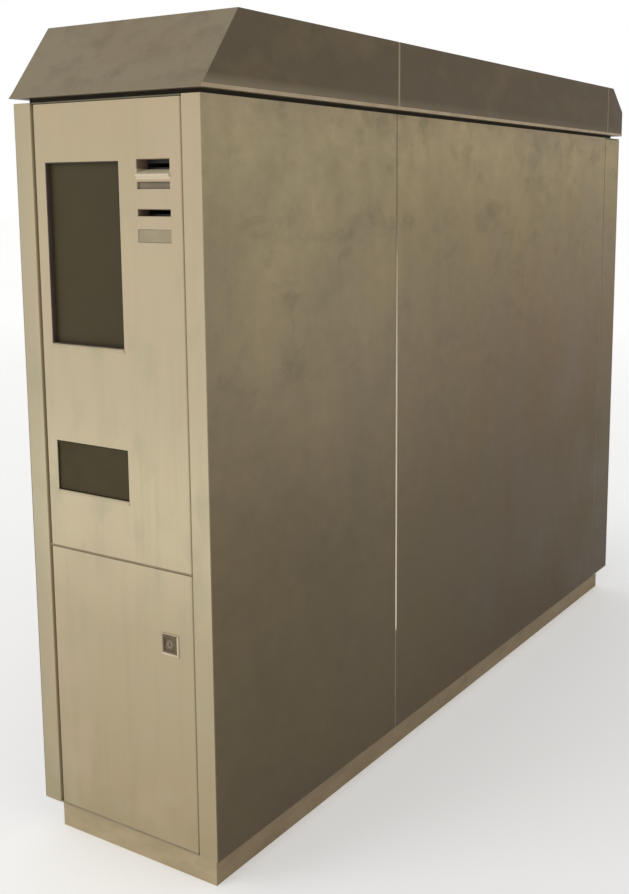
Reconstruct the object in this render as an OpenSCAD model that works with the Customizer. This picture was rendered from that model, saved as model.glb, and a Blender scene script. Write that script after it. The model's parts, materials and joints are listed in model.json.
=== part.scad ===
// Ticket vending machine in a long street cabinet.
// Millimetres, +Z up, front towards -Y, origin at the bottom centre of the plinth.

/* [Cabinet] */
// Width of the body across the front
body_w = 508; // [480:1:640]
// Length of the body from front to back
body_l = 2270; // [1900:1:2800]
// Height of the body above its plinth
body_h = 1560; // [1290:1:1900]
// Thickness of the cabinet sheet
sheet = 2; // [1.5:0.1:3]
// Depth of the folded edges of the side panels
panel_fold = 18; // [14:1:22]
// Distance from the front to the vertical joint in each side
joint_from_front = 725; // [600:1:900]
// Width of the joints between neighbouring sheets
joint_gap = 4; // [3:0.5:6]
// How far the light joint strips lie below the sheet faces
strip_recess = 0.8; // [0.2:0.1:1.5]

/* [Frame] */
// Outer side of the square frame tube
tube = 30; // [25:1:36]
// Wall of the square frame tube
tube_wall = 2; // [1.5:0.5:4]
// Thickness of the base plate
base_t = 4; // [3:0.5:6]
// Thickness of the top plate
top_t = 3; // [2:0.5:5]
// Thickness of the plate between the two front doors
mid_t = 3; // [2:0.5:4]

/* [Plinth] */
// Height of the plinth
plinth_h = 75; // [60:1:120]
// How far the plinth stands back from the body faces
plinth_inset = 27; // [15:1:35]
// Wall of the plinth channel
plinth_wall = 3; // [2:0.5:5]
// Width of the plinth's upper flange
plinth_top_flange = 40; // [36:1:60]
// Width of the plinth's lower flange
plinth_foot_flange = 45; // [40:1:60]
// Radius of the floor anchor holes
anchor_r = 7; // [5:0.5:10]
// Distance from the plinth face to an anchor hole across the body
anchor_in = 27; // [20:1:30]
// Distance from the plinth face to an anchor hole along the body
anchor_back = 50; // [20:1:80]

/* [Roof] */
// Height of the dark neck between body and roof
neck_h = 10; // [6:1:20]
// How far the neck stands back from the body faces
neck_inset = 23; // [15:1:30]
// Width of the neck bar
neck_bar = 20; // [15:1:30]
// Height of the roof
roof_h = 157; // [110:1:200]
// Overhang of the roof beyond the body at its ends and its drip edges
roof_over = 7; // [4:0.5:12]
// Length of the roof's front slope
roof_front_run = 118; // [60:1:160]
// Height of the upright part of the roof's rear end
roof_rear_rise = 82; // [40:1:100]
// Length of the roof's rear slope
roof_rear_run = 95; // [40:1:120]
// Width of the roof's bottom flange
roof_flange = 40; // [36:1:60]
// Height of the drip edge along each side of the roof
drip_h = 8; // [5:1:14]
// Thickness of the drip edge
drip_t = 1; // [0.5:0.5:2]
// Width of the bands behind the roof joints
roof_band_w = 30; // [20:1:50]

/* [Doors] */
// Width of each front corner post
post_w = 48; // [46:1:60]
// Gap between a post and the front doors
door_gap = 4; // [3:0.5:5]
// Gap above and below each door
door_clear = 1.2; // [0.8:0.1:3]
// Depth of the folded edges of the front doors
door_d = 20; // [18:1:24]
// Depth of the rear door's folded sides
rear_door_d = 131; // [90:1:180]
// Height of the upper door, from the split to the top of the body
upper_h = 948.5; // [930:0.5:1000]
// Radius of a door's hinged corner, centred on its hinge pin
hinge_r = 10; // [8:0.5:12]
// Radius of a door's other front corner
edge_r = 3; // [2.5:0.5:6]
// Radius of the hinge pins
pin_r = 4; // [3:0.5:5]
// Length of a hinge knuckle inside a door
knuckle_h = 18; // [12:1:40]
// Running clearance of pins and shafts in their bores
run = 0.05; // [0.02:0.01:0.1]

/* [Window] */
// Left edge of the window from the body's left side
window_left = 86; // [80:1:110]
// Width of the window and of the ticket tray
window_w = 207; // [170:1:215]
// Height of the window
window_h = 377.5; // [300:0.5:400]
// Distance from the top of the body to the window
window_drop = 122.5; // [100:0.5:150]
// Depth of the folded collar around the window
collar_d = 10; // [6:1:14]
// How far a sill stands out below its opening
sill_out = 3; // [1:0.5:5]
// Height of a sill
sill_h = 8; // [5:1:12]
// Thickness of the window glass
glass_t = 4; // [3:0.5:6]
// Thickness of the window gasket
gasket_t = 2; // [1:0.5:3]
// Width of glass held behind the collar on each side
glass_hold = 12; // [8:1:16]
// Depth of the display housing
display_d = 40; // [34:1:60]
// Thickness of the display panel
panel_t = 10; // [6:1:14]

/* [Ticket tray] */
// Distance from the window down to the tray opening
tray_drop = 210; // [180:1:240]
// Height of the tray opening
tray_h = 109; // [90:1:120]
// Depth of the tray
tray_d = 130; // [125:1:135]
// Thickness of the flap
flap_t = 4; // [3:0.5:6]
// Radius of the flap's barrel
flap_r = 4; // [3.5:0.5:6]
// Radius of the flap's pivot pins
flap_pin_r = 2.5; // [2:0.5:3]
// Gap around the flap
flap_clear = 1; // [0.5:0.1:2]

/* [Slots] */
// Width of the slots
slot_w = 86; // [80:1:88]
// Right edge of the slots from the body's right side
slot_right = 81; // [78:1:90]
// Distance from the top of the body to the note slot
note_drop = 120; // [110:1:130]
// Height of the open note slot
note_h = 20; // [14:1:24]
// Height of the ramp below the note slot
ramp_h = 17; // [12:1:20]
// Distance from the top of the body to the card slot
card_drop = 164; // [162:1:168]
// Height of the card slot
card_h = 14; // [10:1:16]
// Distance from the top of the body to the pass slot
pass_drop = 217; // [212:1:222]
// Height of the pass slot
pass_h = 14; // [10:1:16]
// Distance from the top of the body to the push plate
push_drop = 257; // [252:1:262]
// Height of the push plate
push_h = 25; // [20:1:30]
// Travel of the push plate
push_travel = 4; // [2:0.5:5]
// Wall of the slot bezels
bezel_wall = 2; // [1.5:0.5:2.5]
// Depth of the slot bezels behind the skin
bezel_d = 30; // [24:1:36]
// Width of the clamping flange at each end of a bezel
bezel_flange = 8; // [4:0.5:10]
// Thickness of the card shutter
shutter_t = 1.5; // [1:0.5:2]
// Radius of the card shutter's pivot pins
shutter_pin_r = 1.5; // [1:0.5:2]

/* [Locks] */
// Distance from the body's right side to the lower door's lock
lock_right = 115; // [100:1:125]
// Distance from the door split down to the lower door's lock
lock_drop = 158.5; // [120:0.5:180]
// Width of a lock escutcheon
escutcheon_w = 37; // [32:1:44]
// Height of a lock escutcheon
escutcheon_h = 38; // [32:1:44]
// How far an escutcheon stands out
escutcheon_out = 2.5; // [1:0.5:4]
// Radius of a lock cylinder
lock_r = 9; // [7:0.5:11]
// Length of a lock cam from its cylinder's centre
cam_len = 60; // [55:1:62]
// Width of a lock cam
cam_w = 16; // [12:1:20]
// Thickness of a lock cam
cam_t = 3; // [2:0.5:4]
// Radius of the upper door's side bolt
bolt_r = 5; // [4:0.5:6]
// Height of the side bolt above the door split
bolt_rise = 40; // [35:1:80]

/* [Ticket printer] */
// Width of the printer chassis
printer_w = 180; // [160:1:185]
// Thickness of the chassis sheet
chassis_t = 3; // [2:0.5:4]
// Radius of a full ticket roll
roll_r = 90; // [60:1:95]
// Width of the tickets
ticket_w = 84; // [60:1:86]
// Radius of the roll spindle
spindle_r = 12; // [8:1:14]
// Radius of the platen roller
platen_r = 12; // [8:1:14]
// Radius of the platen shaft
shaft_r = 5; // [4:0.5:6]
// Ticket thickness left between platen and print head
ticket_gap = 0.3; // [0.2:0.1:0.5]

/* [Cash] */
// Width of the cash box
cash_w = 220; // [160:1:240]
// Depth of the cash box
cash_d = 300; // [240:1:320]
// Height of the cash box
cash_h = 200; // [150:1:220]
// Side of the square cash drop tube
drop_w = 60; // [40:1:70]
// Width of the coin hopper
hopper_w = 120; // [110:1:125]
// Height of the coin hopper
hopper_h = 158; // [120:1:180]
// Radius of the hopper bowl
bowl_r = 50; // [40:1:50]
// Radius of the hopper disc's spindle
hopper_pin_r = 6; // [4:0.5:8]

/* [Services] */
// Side of the fan housing
fan_w = 120; // [90:1:125]
// Depth of the fan housing
fan_d = 38; // [30:1:45]
// Radius of the opening through the fan
fan_r = 56; // [40:1:56]
// Radius of the cable gland's bore
gland_r = 22; // [15:1:25]
// Width of one battery
battery_w = 170; // [140:1:185]
// Depth of one battery
battery_d = 260; // [200:1:280]
// Height of one battery
battery_h = 210; // [160:1:240]
// Number of batteries
battery_count = 4; // [2:2:6]

/* [Hidden] */
$fn = 96;
cut = 1;
half_w = body_w / 2;
half_l = body_l / 2;
inner_x = half_w - sheet;
floor_z = plinth_h + base_t;
top_z = plinth_h + body_h;
ceiling_z = top_z - top_t;
roof_z = top_z + neck_h;
roof_top = roof_z + roof_h;
joint_y = -half_l + joint_from_front;
rear_y = half_l - rear_door_d;
panel_end_y = rear_y - joint_gap;
split_z = top_z - upper_h;

// Frame
frame_x = half_w - panel_fold;
clear_x = frame_x - tube;
door_reach = door_d - hinge_r;
door_back = ceil(sqrt(hinge_r * hinge_r + door_reach * door_reach) - door_reach + door_clear);
front_tube_y = -half_l + door_d + door_back;
mid_tube_y = joint_y - tube / 2;
rear_tube_y = panel_end_y - tube;
shelf_under = 14;
shelf_lead = 15;
bay_fit = 2;
seal_w = 6;
seal_gap = 1;

// Plinth, roof and their fixings
plinth_x = half_w - plinth_inset;
plinth_y = half_l - plinth_inset;
anchor_x = plinth_x - anchor_in;
anchor_y = plinth_y - anchor_back;
bolt_in = 29;
base_bolt_end = 60;
base_bolt_ys = [-plinth_y + base_bolt_end, joint_y + base_bolt_end, panel_end_y - base_bolt_end];
base_bolt_r = 4;
base_head_r = 6.5;
base_head_gap = 1;
base_bolt_x = min(plinth_x - bolt_in, clear_x - base_head_r - base_head_gap);
head_h = 5;
neck_x = half_w - neck_inset;
neck_y = half_l - neck_inset;
roof_x = half_w + roof_over - drip_t;
roof_y = half_l + roof_over;
roof_bolt_r = 3;
roof_head_r = 5.5;
roof_bolt_in = 6;
roof_bolt_x = neck_x - roof_bolt_in;
roof_bolt_end = 60;
roof_bolt_ys = [
    -neck_y + roof_bolt_end, joint_y - roof_bolt_end,
    joint_y + roof_bolt_end, panel_end_y - roof_bolt_end,
    rear_y + roof_bolt_end / 2
];
front_slope = atan2(roof_h, roof_front_run);
front_step = sheet / sin(front_slope);
rear_slope = atan2(roof_h - roof_rear_rise, roof_rear_run);
rear_step = sheet / sin(rear_slope);

// Doors
door_x = half_w - post_w - door_gap;
door_w = 2 * door_x;
hinge_x = -door_x + hinge_r;
hinge_y = -half_l + hinge_r;
rear_hinge_x = -half_w + hinge_r;
rear_hinge_y = rear_y + hinge_r;
skin_in = -half_l + sheet;
lower_z0 = floor_z + door_clear;
lower_z1 = split_z - mid_t / 2 - door_clear;
upper_z0 = split_z + mid_t / 2 + door_clear;
upper_z1 = ceiling_z - door_clear;
plate_front = -half_l + 0.5;
mid_front = -half_l + 4;

// Window and tray
window_x0 = -half_w + window_left;
window_x1 = window_x0 + window_w;
window_z1 = top_z - window_drop;
window_z0 = window_z1 - window_h;
tray_z1 = window_z0 - tray_drop;
tray_z0 = tray_z1 - tray_h;
tray_margin = 4;
tray_back = skin_in + tray_d;
tray_top = tray_z1 + tray_margin;
tray_floor = tray_z0 - tray_margin;
inlet_side = 4;
inlet_d = 22;
inlet_wall = 5;
inlet_y1 = tray_back - inlet_wall;
inlet_y0 = inlet_y1 - inlet_d;
chute_tip_y = inlet_y1 - 3;
flap_y = skin_in + flap_r + flap_clear;
flap_z = tray_z1 - flap_r;
collar_back = -half_l + collar_d;
glass_y = collar_back + gasket_t;
housing_side = 16;
glass_bead = 2;
panel_y = glass_y + glass_t + glass_bead;
display_back = skin_in + display_d;

// Slots
slot_x1 = half_w - slot_right;
slot_x0 = slot_x1 - slot_w;
slot_x = (slot_x0 + slot_x1) / 2;
note_z1 = top_z - note_drop;
note_z0 = note_z1 - note_h;
ramp_z0 = note_z0 - ramp_h;
card_z1 = top_z - card_drop;
card_z0 = card_z1 - card_h;
pass_z1 = top_z - pass_drop;
pass_z0 = pass_z1 - pass_h;
push_z1 = top_z - push_drop;
push_z0 = push_z1 - push_h;
bezel_back = skin_in + bezel_d;
bezel_lip = bezel_wall + 1;
module_side = 46;
module_depth = 115;
note_box_h = 100;
note_path_d = 95;
reader_d = 103;
reader_edge = 4;
card_path_d = 85;
path_side = 2;
path_rise = 4;
path_h = 8;
ramp_out = 5;
ramp_nose = 3;
shutter_z = card_z1 - shutter_pin_r - 0.5;
shutter_y = -half_l + 5;
push_gap = 0.4;
push_in = 1;
push_t = 3;
stem_r = 6;
push_back_t = 3;
push_spring = 6;
push_box_d = push_t + push_travel + push_spring + push_back_t;

// Locks
lock_x = half_w - lock_right;
lock_z = split_z - lock_drop;
rear_lock_x = lock_x;
rear_lock_z = (floor_z + ceiling_z) / 2;
strike_t = 3;
strike_reach = 14;
strike_h = 26;
strike_y = front_tube_y;
cam_y = strike_y + strike_t + 1;
rear_strike_y = panel_end_y - strike_t;
rear_cam_y = rear_strike_y - 1 - cam_t;
recess = 14;
sleeve_wall = 3.5;
rear_sleeve_wall = 4;
vent_rows = 8;
vent_pitch = 16;
vent_h = 5;
vent_x = 90;
vent_low_z = floor_z + 200;
vent_high_z = ceiling_z - 330;
recess_d = 1.5;
bolt_y = -half_l + 11;
bolt_z = split_z + bolt_rise;
bolt_len = 45;
bolt_travel = 9;
guide_half = 8;
guide_x0 = door_x - 32;
guide_x1 = door_x - bolt_travel - 3;

// Front bay
shelf_z = tray_z0 - shelf_under;
printer_x = (window_x0 + window_x1) / 2;
printer_x0 = printer_x - printer_w / 2;
printer_x1 = printer_x + printer_w / 2;
printer_front = tray_back + 18;
printer_len = 385;
head_top = 195;
cheek_low = 40;
cheek_half = 35;
cheek_front = 105;
roll_rise = 230;
roll_in = 265;
roll_y = printer_front + roll_in;
roll_z = shelf_z + roll_rise;
platen_in = 45;
platen_rise = 150;
platen_over = 5;
platen_y = printer_front + platen_in;
platen_z = shelf_z + platen_rise;
printhead_h = 20;
printhead_half = 20;
heat_strip = 6;
chute_drop = 6;
chute_t = 3;
chute_bar = 12;
hopper_x0 = printer_x1 + 4.5;
hopper_x = hopper_x0 + hopper_w / 2;
hopper_y0 = printer_front;
hopper_y = hopper_y0 + hopper_w / 2;
disc_t = 6;
disc_z = shelf_z + 20;
disc_lift = 0.3;
disc_side = 1;
pin_over = 2;
coin_holes = 6;
coin_hole_r = 13;
coin_ring_r = 31;
spout_w = 8;
spout_h = 32;
spout_wall = 1.75;
spout_rise = 3;
spout_shut = 2;
drop_in = 70;
drop_gap = 6;
drop_x = hopper_x0 + drop_in;
drop_y = hopper_y0 + hopper_w + drop_w / 2 + drop_gap;
control_w = 130;
control_d = 170;
control_h = 78;
control_gap = 30;
supply_d = 80;
supply_h = 98;
supply_gap = 20;
control_y = drop_y + drop_w / 2 + control_gap;
supply_y = control_y + control_d + supply_gap;

// Cash box
guide_t = 2;
guide_h = 30;
cash_gap = 0.5;
cash_right = 40;
cash_behind = 70;
cash_x = drop_x - cash_w / 2 + cash_right;
cash_x1 = cash_x + cash_w / 2;
cash_x0 = cash_x - cash_w / 2;
cash_y0 = drop_y - cash_d + cash_behind;
cash_z0 = floor_z + guide_t;
cash_wall = 2;
handle_out = 22;
handle_half = 50;
handle_t = 6;
handle_h = 12;
handle_rise = 100;

// Rear bay
fan_x = 90;
fan_drop = 235;
fan_z = top_z - fan_drop;
fan_y1 = joint_y - sheet / 2;
fan_y0 = fan_y1 - fan_d;
fan_hub_r = 20;
fan_shaft_r = 3;
fan_rim = 4;
spoke_t = 3;
spoke_half = 3;
rotor_gap = 2;
fan_blades = 7;
blade_gap = 1.5;
blade_chord = 26;
blade_pitch = 40;
blade_t = 2;
board_w = 180;
board_d = 40;
board_h = 250;
board_rise = 150;
board_left = 20;
gland_x = 120;
gland_y = joint_y - 90;
gland_wall = 8;
gland_flange = 16;
gland_up = 16;
gland_down = 8;
battery_gap = 20;
battery_y0 = mid_tube_y + 2 * tube + battery_d;

sand = "#b8a889";
bronze = "#887c63";
umber = "#5d5443";
smoke = "#4c4636";
steel = "#9a9a96";
dark = "#3a3834";
zinc = "#b4b4ae";
paper = "#efece2";
brown = "#776953";
buff = "#a29479";
grey = "#6d7068";

// A box from its lowest to its highest corner
module block(low, high) {
    translate(low) cube(high - low);
}

// An outline in Y and Z, drawn out from x0 to x1
module along_x(x0, x1) {
    translate([x0, 0, 0]) rotate([90, 0, 90]) linear_extrude(x1 - x0) children();
}

// A cylinder along Y
module rod_y(x, y0, y1, z, r) {
    translate([x, y0, z]) rotate([-90, 0, 0]) cylinder(h = y1 - y0, r = r);
}

// A cylinder along X
module rod_x(x0, x1, y, z, r) {
    translate([x0, y, z]) rotate([0, 90, 0]) cylinder(h = x1 - x0, r = r);
}

// A cylinder along Z
module rod_z(x, y, z0, z1, r) {
    translate([x, y, z0]) cylinder(h = z1 - z0, r = r);
}

// The children on the right, and their mirror image on the left
module both_sides() {
    children();
    mirror([1, 0, 0]) children();
}

// Square tube: its bore runs along the axis whose entry in bore is 1
module tube_bar(low, high, bore) {
    wall = tube_wall * ([1, 1, 1] - bore);
    difference() {
        block(low, high);
        block(low + wall - cut * bore, high - wall + cut * bore);
    }
}

// A rectangular ring of bars in plan, w wide, from z0 to z1
module plan_ring(x, y, w, z0, z1) {
    difference() {
        block([-x, -y, z0], [x, y, z1]);
        block([-x + w, -y + w, z0 - cut], [x - w, y - w, z1 + cut]);
    }
}

// ---- Plinth and floor ----

module plinth() {
    color(sand) difference() {
        union() {
            plan_ring(plinth_x, plinth_y, plinth_wall, 0, plinth_h);
            plan_ring(plinth_x, plinth_y, plinth_foot_flange, 0, plinth_wall);
            plan_ring(plinth_x, plinth_y, plinth_top_flange, plinth_h - plinth_wall, plinth_h);
        }
        for (x = [-anchor_x, anchor_x], y = [-anchor_y, 0, anchor_y])
            rod_z(x, y, -cut, plinth_wall + cut, anchor_r);
        base_bolts(plinth_h - plinth_wall - cut, plinth_h + cut);
    }
}

module base_bolts(z0, z1, r = base_bolt_r) {
    for (x = [-base_bolt_x, base_bolt_x], y = base_bolt_ys)
        rod_z(x, y, z0, z1, r);
}

// Footprint shared by the base plate and the top plate
module cabinet_plate(z0, z1) {
    block([-inner_x, skin_in, z0], [inner_x, panel_end_y, z1]);
    block([-door_x, plate_front, z0], [door_x, skin_in, z1]);
    block([-inner_x, panel_end_y, z0], [inner_x, half_l, z1]);
    block([-half_w, rear_y, z0], [half_w, half_l, z1]);
}

module base_plate() {
    color(steel) difference() {
        cabinet_plate(plinth_h, floor_z);
        base_bolts(plinth_h - cut, floor_z + cut);
        rod_z(gland_x, gland_y, plinth_h - cut, floor_z + cut, gland_r + gland_wall);
        rod_z(hinge_x, hinge_y, plinth_h - cut, floor_z + cut, pin_r);
        rod_z(rear_hinge_x, rear_hinge_y, plinth_h - cut, floor_z + cut, pin_r);
    }
}

module top_plate() {
    color(steel) difference() {
        cabinet_plate(ceiling_z, top_z);
        roof_bolts(ceiling_z - cut, top_z + cut);
        rod_z(hinge_x, hinge_y, ceiling_z - cut, top_z + cut, pin_r);
        rod_z(rear_hinge_x, rear_hinge_y, ceiling_z - cut, top_z + cut, pin_r);
    }
}

// ---- Frame ----

module frame_uprights() {
    color(steel) both_sides()
        for (y = [front_tube_y, mid_tube_y, rear_tube_y])
            tube_bar([clear_x, y, floor_z], [frame_x, y + tube, ceiling_z], [0, 0, 1]);
}

module frame_rails() {
    color(steel) {
        both_sides()
            for (bay = [[front_tube_y + tube, mid_tube_y], [mid_tube_y + tube, rear_tube_y]])
                for (z = [floor_z, shelf_z - sheet - tube, ceiling_z - tube])
                    tube_bar([clear_x, bay[0], z], [frame_x, bay[1], z + tube], [0, 1, 0]);
        for (y = [front_tube_y, mid_tube_y, rear_tube_y])
            tube_bar([-clear_x, y, ceiling_z - tube], [clear_x, y + tube, ceiling_z], [1, 0, 0]);
        // Strikes that the lock cams turn behind
        block([clear_x - strike_reach, strike_y, lock_z - strike_h / 2],
              [clear_x, strike_y + strike_t, lock_z + strike_h / 2]);
        block([clear_x - strike_reach, rear_strike_y, rear_lock_z - strike_h / 2],
              [clear_x, rear_strike_y + strike_t, rear_lock_z + strike_h / 2]);
    }
}

// The bar and hinge plate between the two front doors
module mid_rail() {
    low = split_z - mid_t / 2;
    color(steel) difference() {
        union() {
            block([-clear_x, mid_front, low], [clear_x, front_tube_y + tube, low + mid_t]);
            tube_bar([-clear_x, front_tube_y, low - tube], [clear_x, front_tube_y + tube, low], [1, 0, 0]);
        }
        rod_z(hinge_x, hinge_y, low - cut, low + mid_t + cut, pin_r);
    }
}

module hinge_pins() {
    reach = sheet + knuckle_h;
    color(zinc) {
        rod_z(hinge_x, hinge_y, plinth_h, lower_z0 + reach, pin_r);
        rod_z(hinge_x, hinge_y, lower_z1 - reach, upper_z0 + reach, pin_r);
        rod_z(hinge_x, hinge_y, upper_z1 - reach, top_z, pin_r);
        rod_z(rear_hinge_x, rear_hinge_y, plinth_h, lower_z0 + reach, pin_r);
        rod_z(rear_hinge_x, rear_hinge_y, upper_z1 - reach, top_z, pin_r);
    }
}

module fixing_bolts() {
    color(zinc) {
        base_bolts(plinth_h - plinth_wall, floor_z);
        base_bolts(floor_z, floor_z + head_h, base_head_r);
        roof_bolts(ceiling_z, roof_z + sheet);
        roof_bolts(roof_z + sheet, roof_z + sheet + head_h, roof_head_r);
    }
}

// ---- Posts and side panels ----

module corner_post() {
    difference() {
        union() {
            block([half_w - post_w, -half_l, plinth_h], [inner_x, skin_in, top_z]);
            block([half_w - post_w, -half_l, floor_z],
                  [half_w - post_w + sheet, front_tube_y, ceiling_z]);
            block([inner_x - sheet, -half_l, floor_z],
                  [inner_x, front_tube_y + tube, ceiling_z]);
        }
        // Hole for the upper door's side bolt
        rod_x(half_w - post_w - cut, half_w - post_w + sheet + cut, bolt_y, bolt_z, bolt_r + door_clear);
    }
}

module corner_post_right() {
    color(sand) corner_post();
}

module corner_post_left() {
    color(sand) mirror([1, 0, 0]) corner_post();
}

// Side panel with folded edges, from y0 to y1; its front edge may stay unfolded
module side_panel(y0, y1, front_fold) {
    fold_x = half_w - panel_fold;
    block([inner_x, y0, plinth_h], [half_w, y1, top_z]);
    block([fold_x, y1 - sheet, floor_z], [half_w, y1, ceiling_z]);
    block([fold_x, y0 + front_fold, floor_z], [half_w, y1, floor_z + sheet]);
    block([fold_x, y0 + front_fold, ceiling_z - sheet], [half_w, y1, ceiling_z]);
    if (front_fold == 0)
        block([fold_x, y0, floor_z], [half_w, y0 + sheet, ceiling_z]);
}

module front_panel() {
    side_panel(-half_l, joint_y - joint_gap / 2, door_d + door_back + tube);
}

module rear_panel() {
    side_panel(joint_y + joint_gap / 2, panel_end_y, 0);
}

module side_panel_front_right() {
    color(bronze) front_panel();
}

module side_panel_front_left() {
    color(bronze) mirror([1, 0, 0]) front_panel();
}

module side_panel_rear_right() {
    color(bronze) rear_panel();
}

module side_panel_rear_left() {
    color(bronze) mirror([1, 0, 0]) rear_panel();
}

// Light strips in the side joints, and the seal strips of the rear door
module side_joint_strips() {
    face_x = half_w - strip_recess;
    color(sand) both_sides() {
        block([frame_x, joint_y - joint_gap / 2, floor_z],
              [face_x, joint_y + joint_gap / 2, ceiling_z]);
        block([inner_x - seal_w, panel_end_y, floor_z],
              [face_x, rear_y - seal_gap, ceiling_z]);
    }
}

// ---- Roof ----

module neck_ring() {
    color(dark) difference() {
        plan_ring(neck_x, neck_y, neck_bar, top_z, roof_z);
        roof_bolts(top_z - cut, roof_z + cut);
    }
}

module roof_bolts(z0, z1, r = roof_bolt_r) {
    for (x = [-roof_bolt_x, roof_bolt_x], y = roof_bolt_ys)
        rod_z(x, y, z0, z1, r);
}

// The roof's side outline, drawn in by the sheet thickness t
module roof_outline(t) {
    steps = t / sheet;
    polygon([
        [-roof_y + front_step * steps, roof_z - cut * steps],
        [-roof_y + front_step * steps, roof_z],
        [-roof_y + front_step * steps + (roof_h - t) / tan(front_slope), roof_top - t],
        [roof_y - rear_step * steps - (roof_h - roof_rear_rise - t) / tan(rear_slope), roof_top - t],
        [roof_y - t, roof_z + roof_rear_rise - (rear_step * steps - t) * tan(rear_slope)],
        [roof_y - t, roof_z - cut * steps]
    ]);
}

// One length of the hollow roof, with its bottom flange
module roof_section(y0, y1) {
    difference() {
        union() {
            intersection() {
                difference() {
                    along_x(-roof_x, roof_x) roof_outline(0);
                    along_x(-roof_x + sheet, roof_x - sheet) roof_outline(sheet);
                }
                block([-roof_x, y0, roof_z], [roof_x, y1, roof_top]);
            }
            intersection() {
                difference() {
                    along_x(-roof_x, roof_x) roof_outline(0);
                    block([-roof_x + roof_flange, -roof_y + roof_flange, roof_z - cut],
                          [roof_x - roof_flange, roof_y - roof_flange, roof_top]);
                }
                block([-roof_x, y0, roof_z], [roof_x, y1, roof_z + sheet]);
            }
        }
        roof_bolts(roof_z - cut, roof_z + sheet + cut);
    }
}

module roof_front() {
    color(umber) roof_section(-roof_y, joint_y - joint_gap / 2);
}

module roof_middle() {
    color(umber) roof_section(joint_y + joint_gap / 2, panel_end_y);
}

module roof_rear() {
    color(umber) roof_section(rear_y, roof_y);
}

// Bands inside the roof that back its two joints and fill them
module roof_joint_bands() {
    color(umber) for (y = [joint_y, (panel_end_y + rear_y) / 2]) {
        roof_band(roof_x - sheet, roof_top - sheet, y, roof_band_w);
        roof_band(roof_x - strip_recess, roof_top - strip_recess, y, joint_gap);
    }
}

module roof_band(x, z, y, w) {
    difference() {
        block([-x, y - w / 2, roof_z + sheet], [x, y + w / 2, z]);
        block([-roof_x + 2 * sheet, y - w / 2 - cut, roof_z],
              [roof_x - 2 * sheet, y + w / 2 + cut, roof_top - 2 * sheet]);
    }
}

module roof_drip_edges() {
    front_back = drip_h / tan(front_slope);
    color(bronze) both_sides()
        along_x(roof_x, roof_x + drip_t) polygon([
            [-roof_y, roof_z],
            [-roof_y + front_back, roof_z + drip_h],
            [roof_y, roof_z + drip_h],
            [roof_y, roof_z]
        ]);
}

// ---- Door shells ----

// A slab with rounded outer edges: the hinged one at x = 0, the far one at x = w
module rounded_slab(w, d, h, near_r, far_r) {
    translate([near_r, 0, 0]) cube([w - near_r - far_r, d, h]);
    translate([0, near_r, 0]) cube([near_r + cut, d - near_r, h]);
    translate([w - far_r - cut, far_r, 0]) cube([far_r + cut, d - far_r, h]);
    translate([near_r, near_r, 0]) cylinder(h = h, r = near_r);
    translate([w - far_r, far_r, 0]) cylinder(h = h, r = far_r);
}

// A folded door with hinge knuckles; its outer face is at y = 0
module door_shell(w, d, h) {
    difference() {
        union() {
            difference() {
                rounded_slab(w, d, h, hinge_r, edge_r);
                translate([sheet, sheet, sheet])
                    rounded_slab(w - 2 * sheet, d, h - 2 * sheet, hinge_r - sheet, edge_r - sheet / 2);
            }
            for (z = [0, h - sheet - knuckle_h])
                translate([hinge_r, hinge_r, z])
                    cylinder(h = sheet + knuckle_h, r = hinge_r - sheet / 2);
        }
        for (z = [-cut, h - sheet - knuckle_h - cut])
            translate([hinge_r, hinge_r, z])
                cylinder(h = sheet + knuckle_h + 2 * cut, r = pin_r + run);
    }
}

// A sill that stands out below an opening whose lower edge is at z
module sill(x0, x1, z) {
    along_x(x0, x1) polygon([
        [-half_l + sheet / 2, z],
        [-half_l, z],
        [-half_l - sill_out, z - sill_out],
        [-half_l - sill_out, z - sill_h + sill_out],
        [-half_l, z - sill_h],
        [-half_l + sheet / 2, z - sill_h]
    ]);
}

// A block cut through the door skin, with a margin around the opening
module skin_cut(x0, x1, z0, z1, margin = 0) {
    block([x0 - margin, -half_l - cut, z0 - margin], [x1 + margin, skin_in + cut, z1 + margin]);
}

// ---- Upper door ----

module upper_door_skin() {
    color(sand) difference() {
        union() {
            translate([-door_x, -half_l, upper_z0]) door_shell(door_w, door_d, upper_z1 - upper_z0);
            // Folded collar around the window
            difference() {
                block([window_x0 - sheet, skin_in - sheet / 2, window_z0 - sheet],
                      [window_x1 + sheet, collar_back, window_z1 + sheet]);
                block([window_x0, -half_l, window_z0], [window_x1, collar_back + cut, window_z1]);
            }
            sill(window_x0, window_x1, window_z0);
            sill(window_x0, window_x1, tray_z0);
            // Guide block of the side bolt
            block([guide_x0, skin_in - sheet / 2, bolt_z - guide_half],
                  [guide_x1, bolt_y + guide_half, bolt_z + guide_half]);
        }
        skin_cut(window_x0, window_x1, window_z0, window_z1);
        skin_cut(window_x0, window_x1, tray_z0, tray_z1);
        skin_cut(slot_x0, slot_x1, ramp_z0, note_z1, bezel_wall);
        skin_cut(slot_x0, slot_x1, card_z0, card_z1, bezel_wall);
        skin_cut(slot_x0, slot_x1, pass_z0, pass_z1, bezel_wall);
        skin_cut(slot_x0, slot_x1, push_z0, push_z1, push_gap);
        rod_x(guide_x0 - cut, door_x + cut, bolt_y, bolt_z, bolt_r + run);
    }
}

module upper_door_bolt() {
    color(zinc) rod_x(door_x - bolt_len, door_x, bolt_y, bolt_z, bolt_r);
}

module window_gasket() {
    color(dark) difference() {
        block([window_x0 - glass_hold, collar_back, window_z0 - glass_hold],
              [window_x1 + glass_hold, glass_y, window_z1 + glass_hold]);
        block([window_x0, collar_back - cut, window_z0], [window_x1, glass_y + cut, window_z1]);
    }
}

module window_glass() {
    color(smoke) block([window_x0 - glass_hold, glass_y, window_z0 - glass_hold],
                       [window_x1 + glass_hold, glass_y + glass_t, window_z1 + glass_hold]);
}

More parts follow.
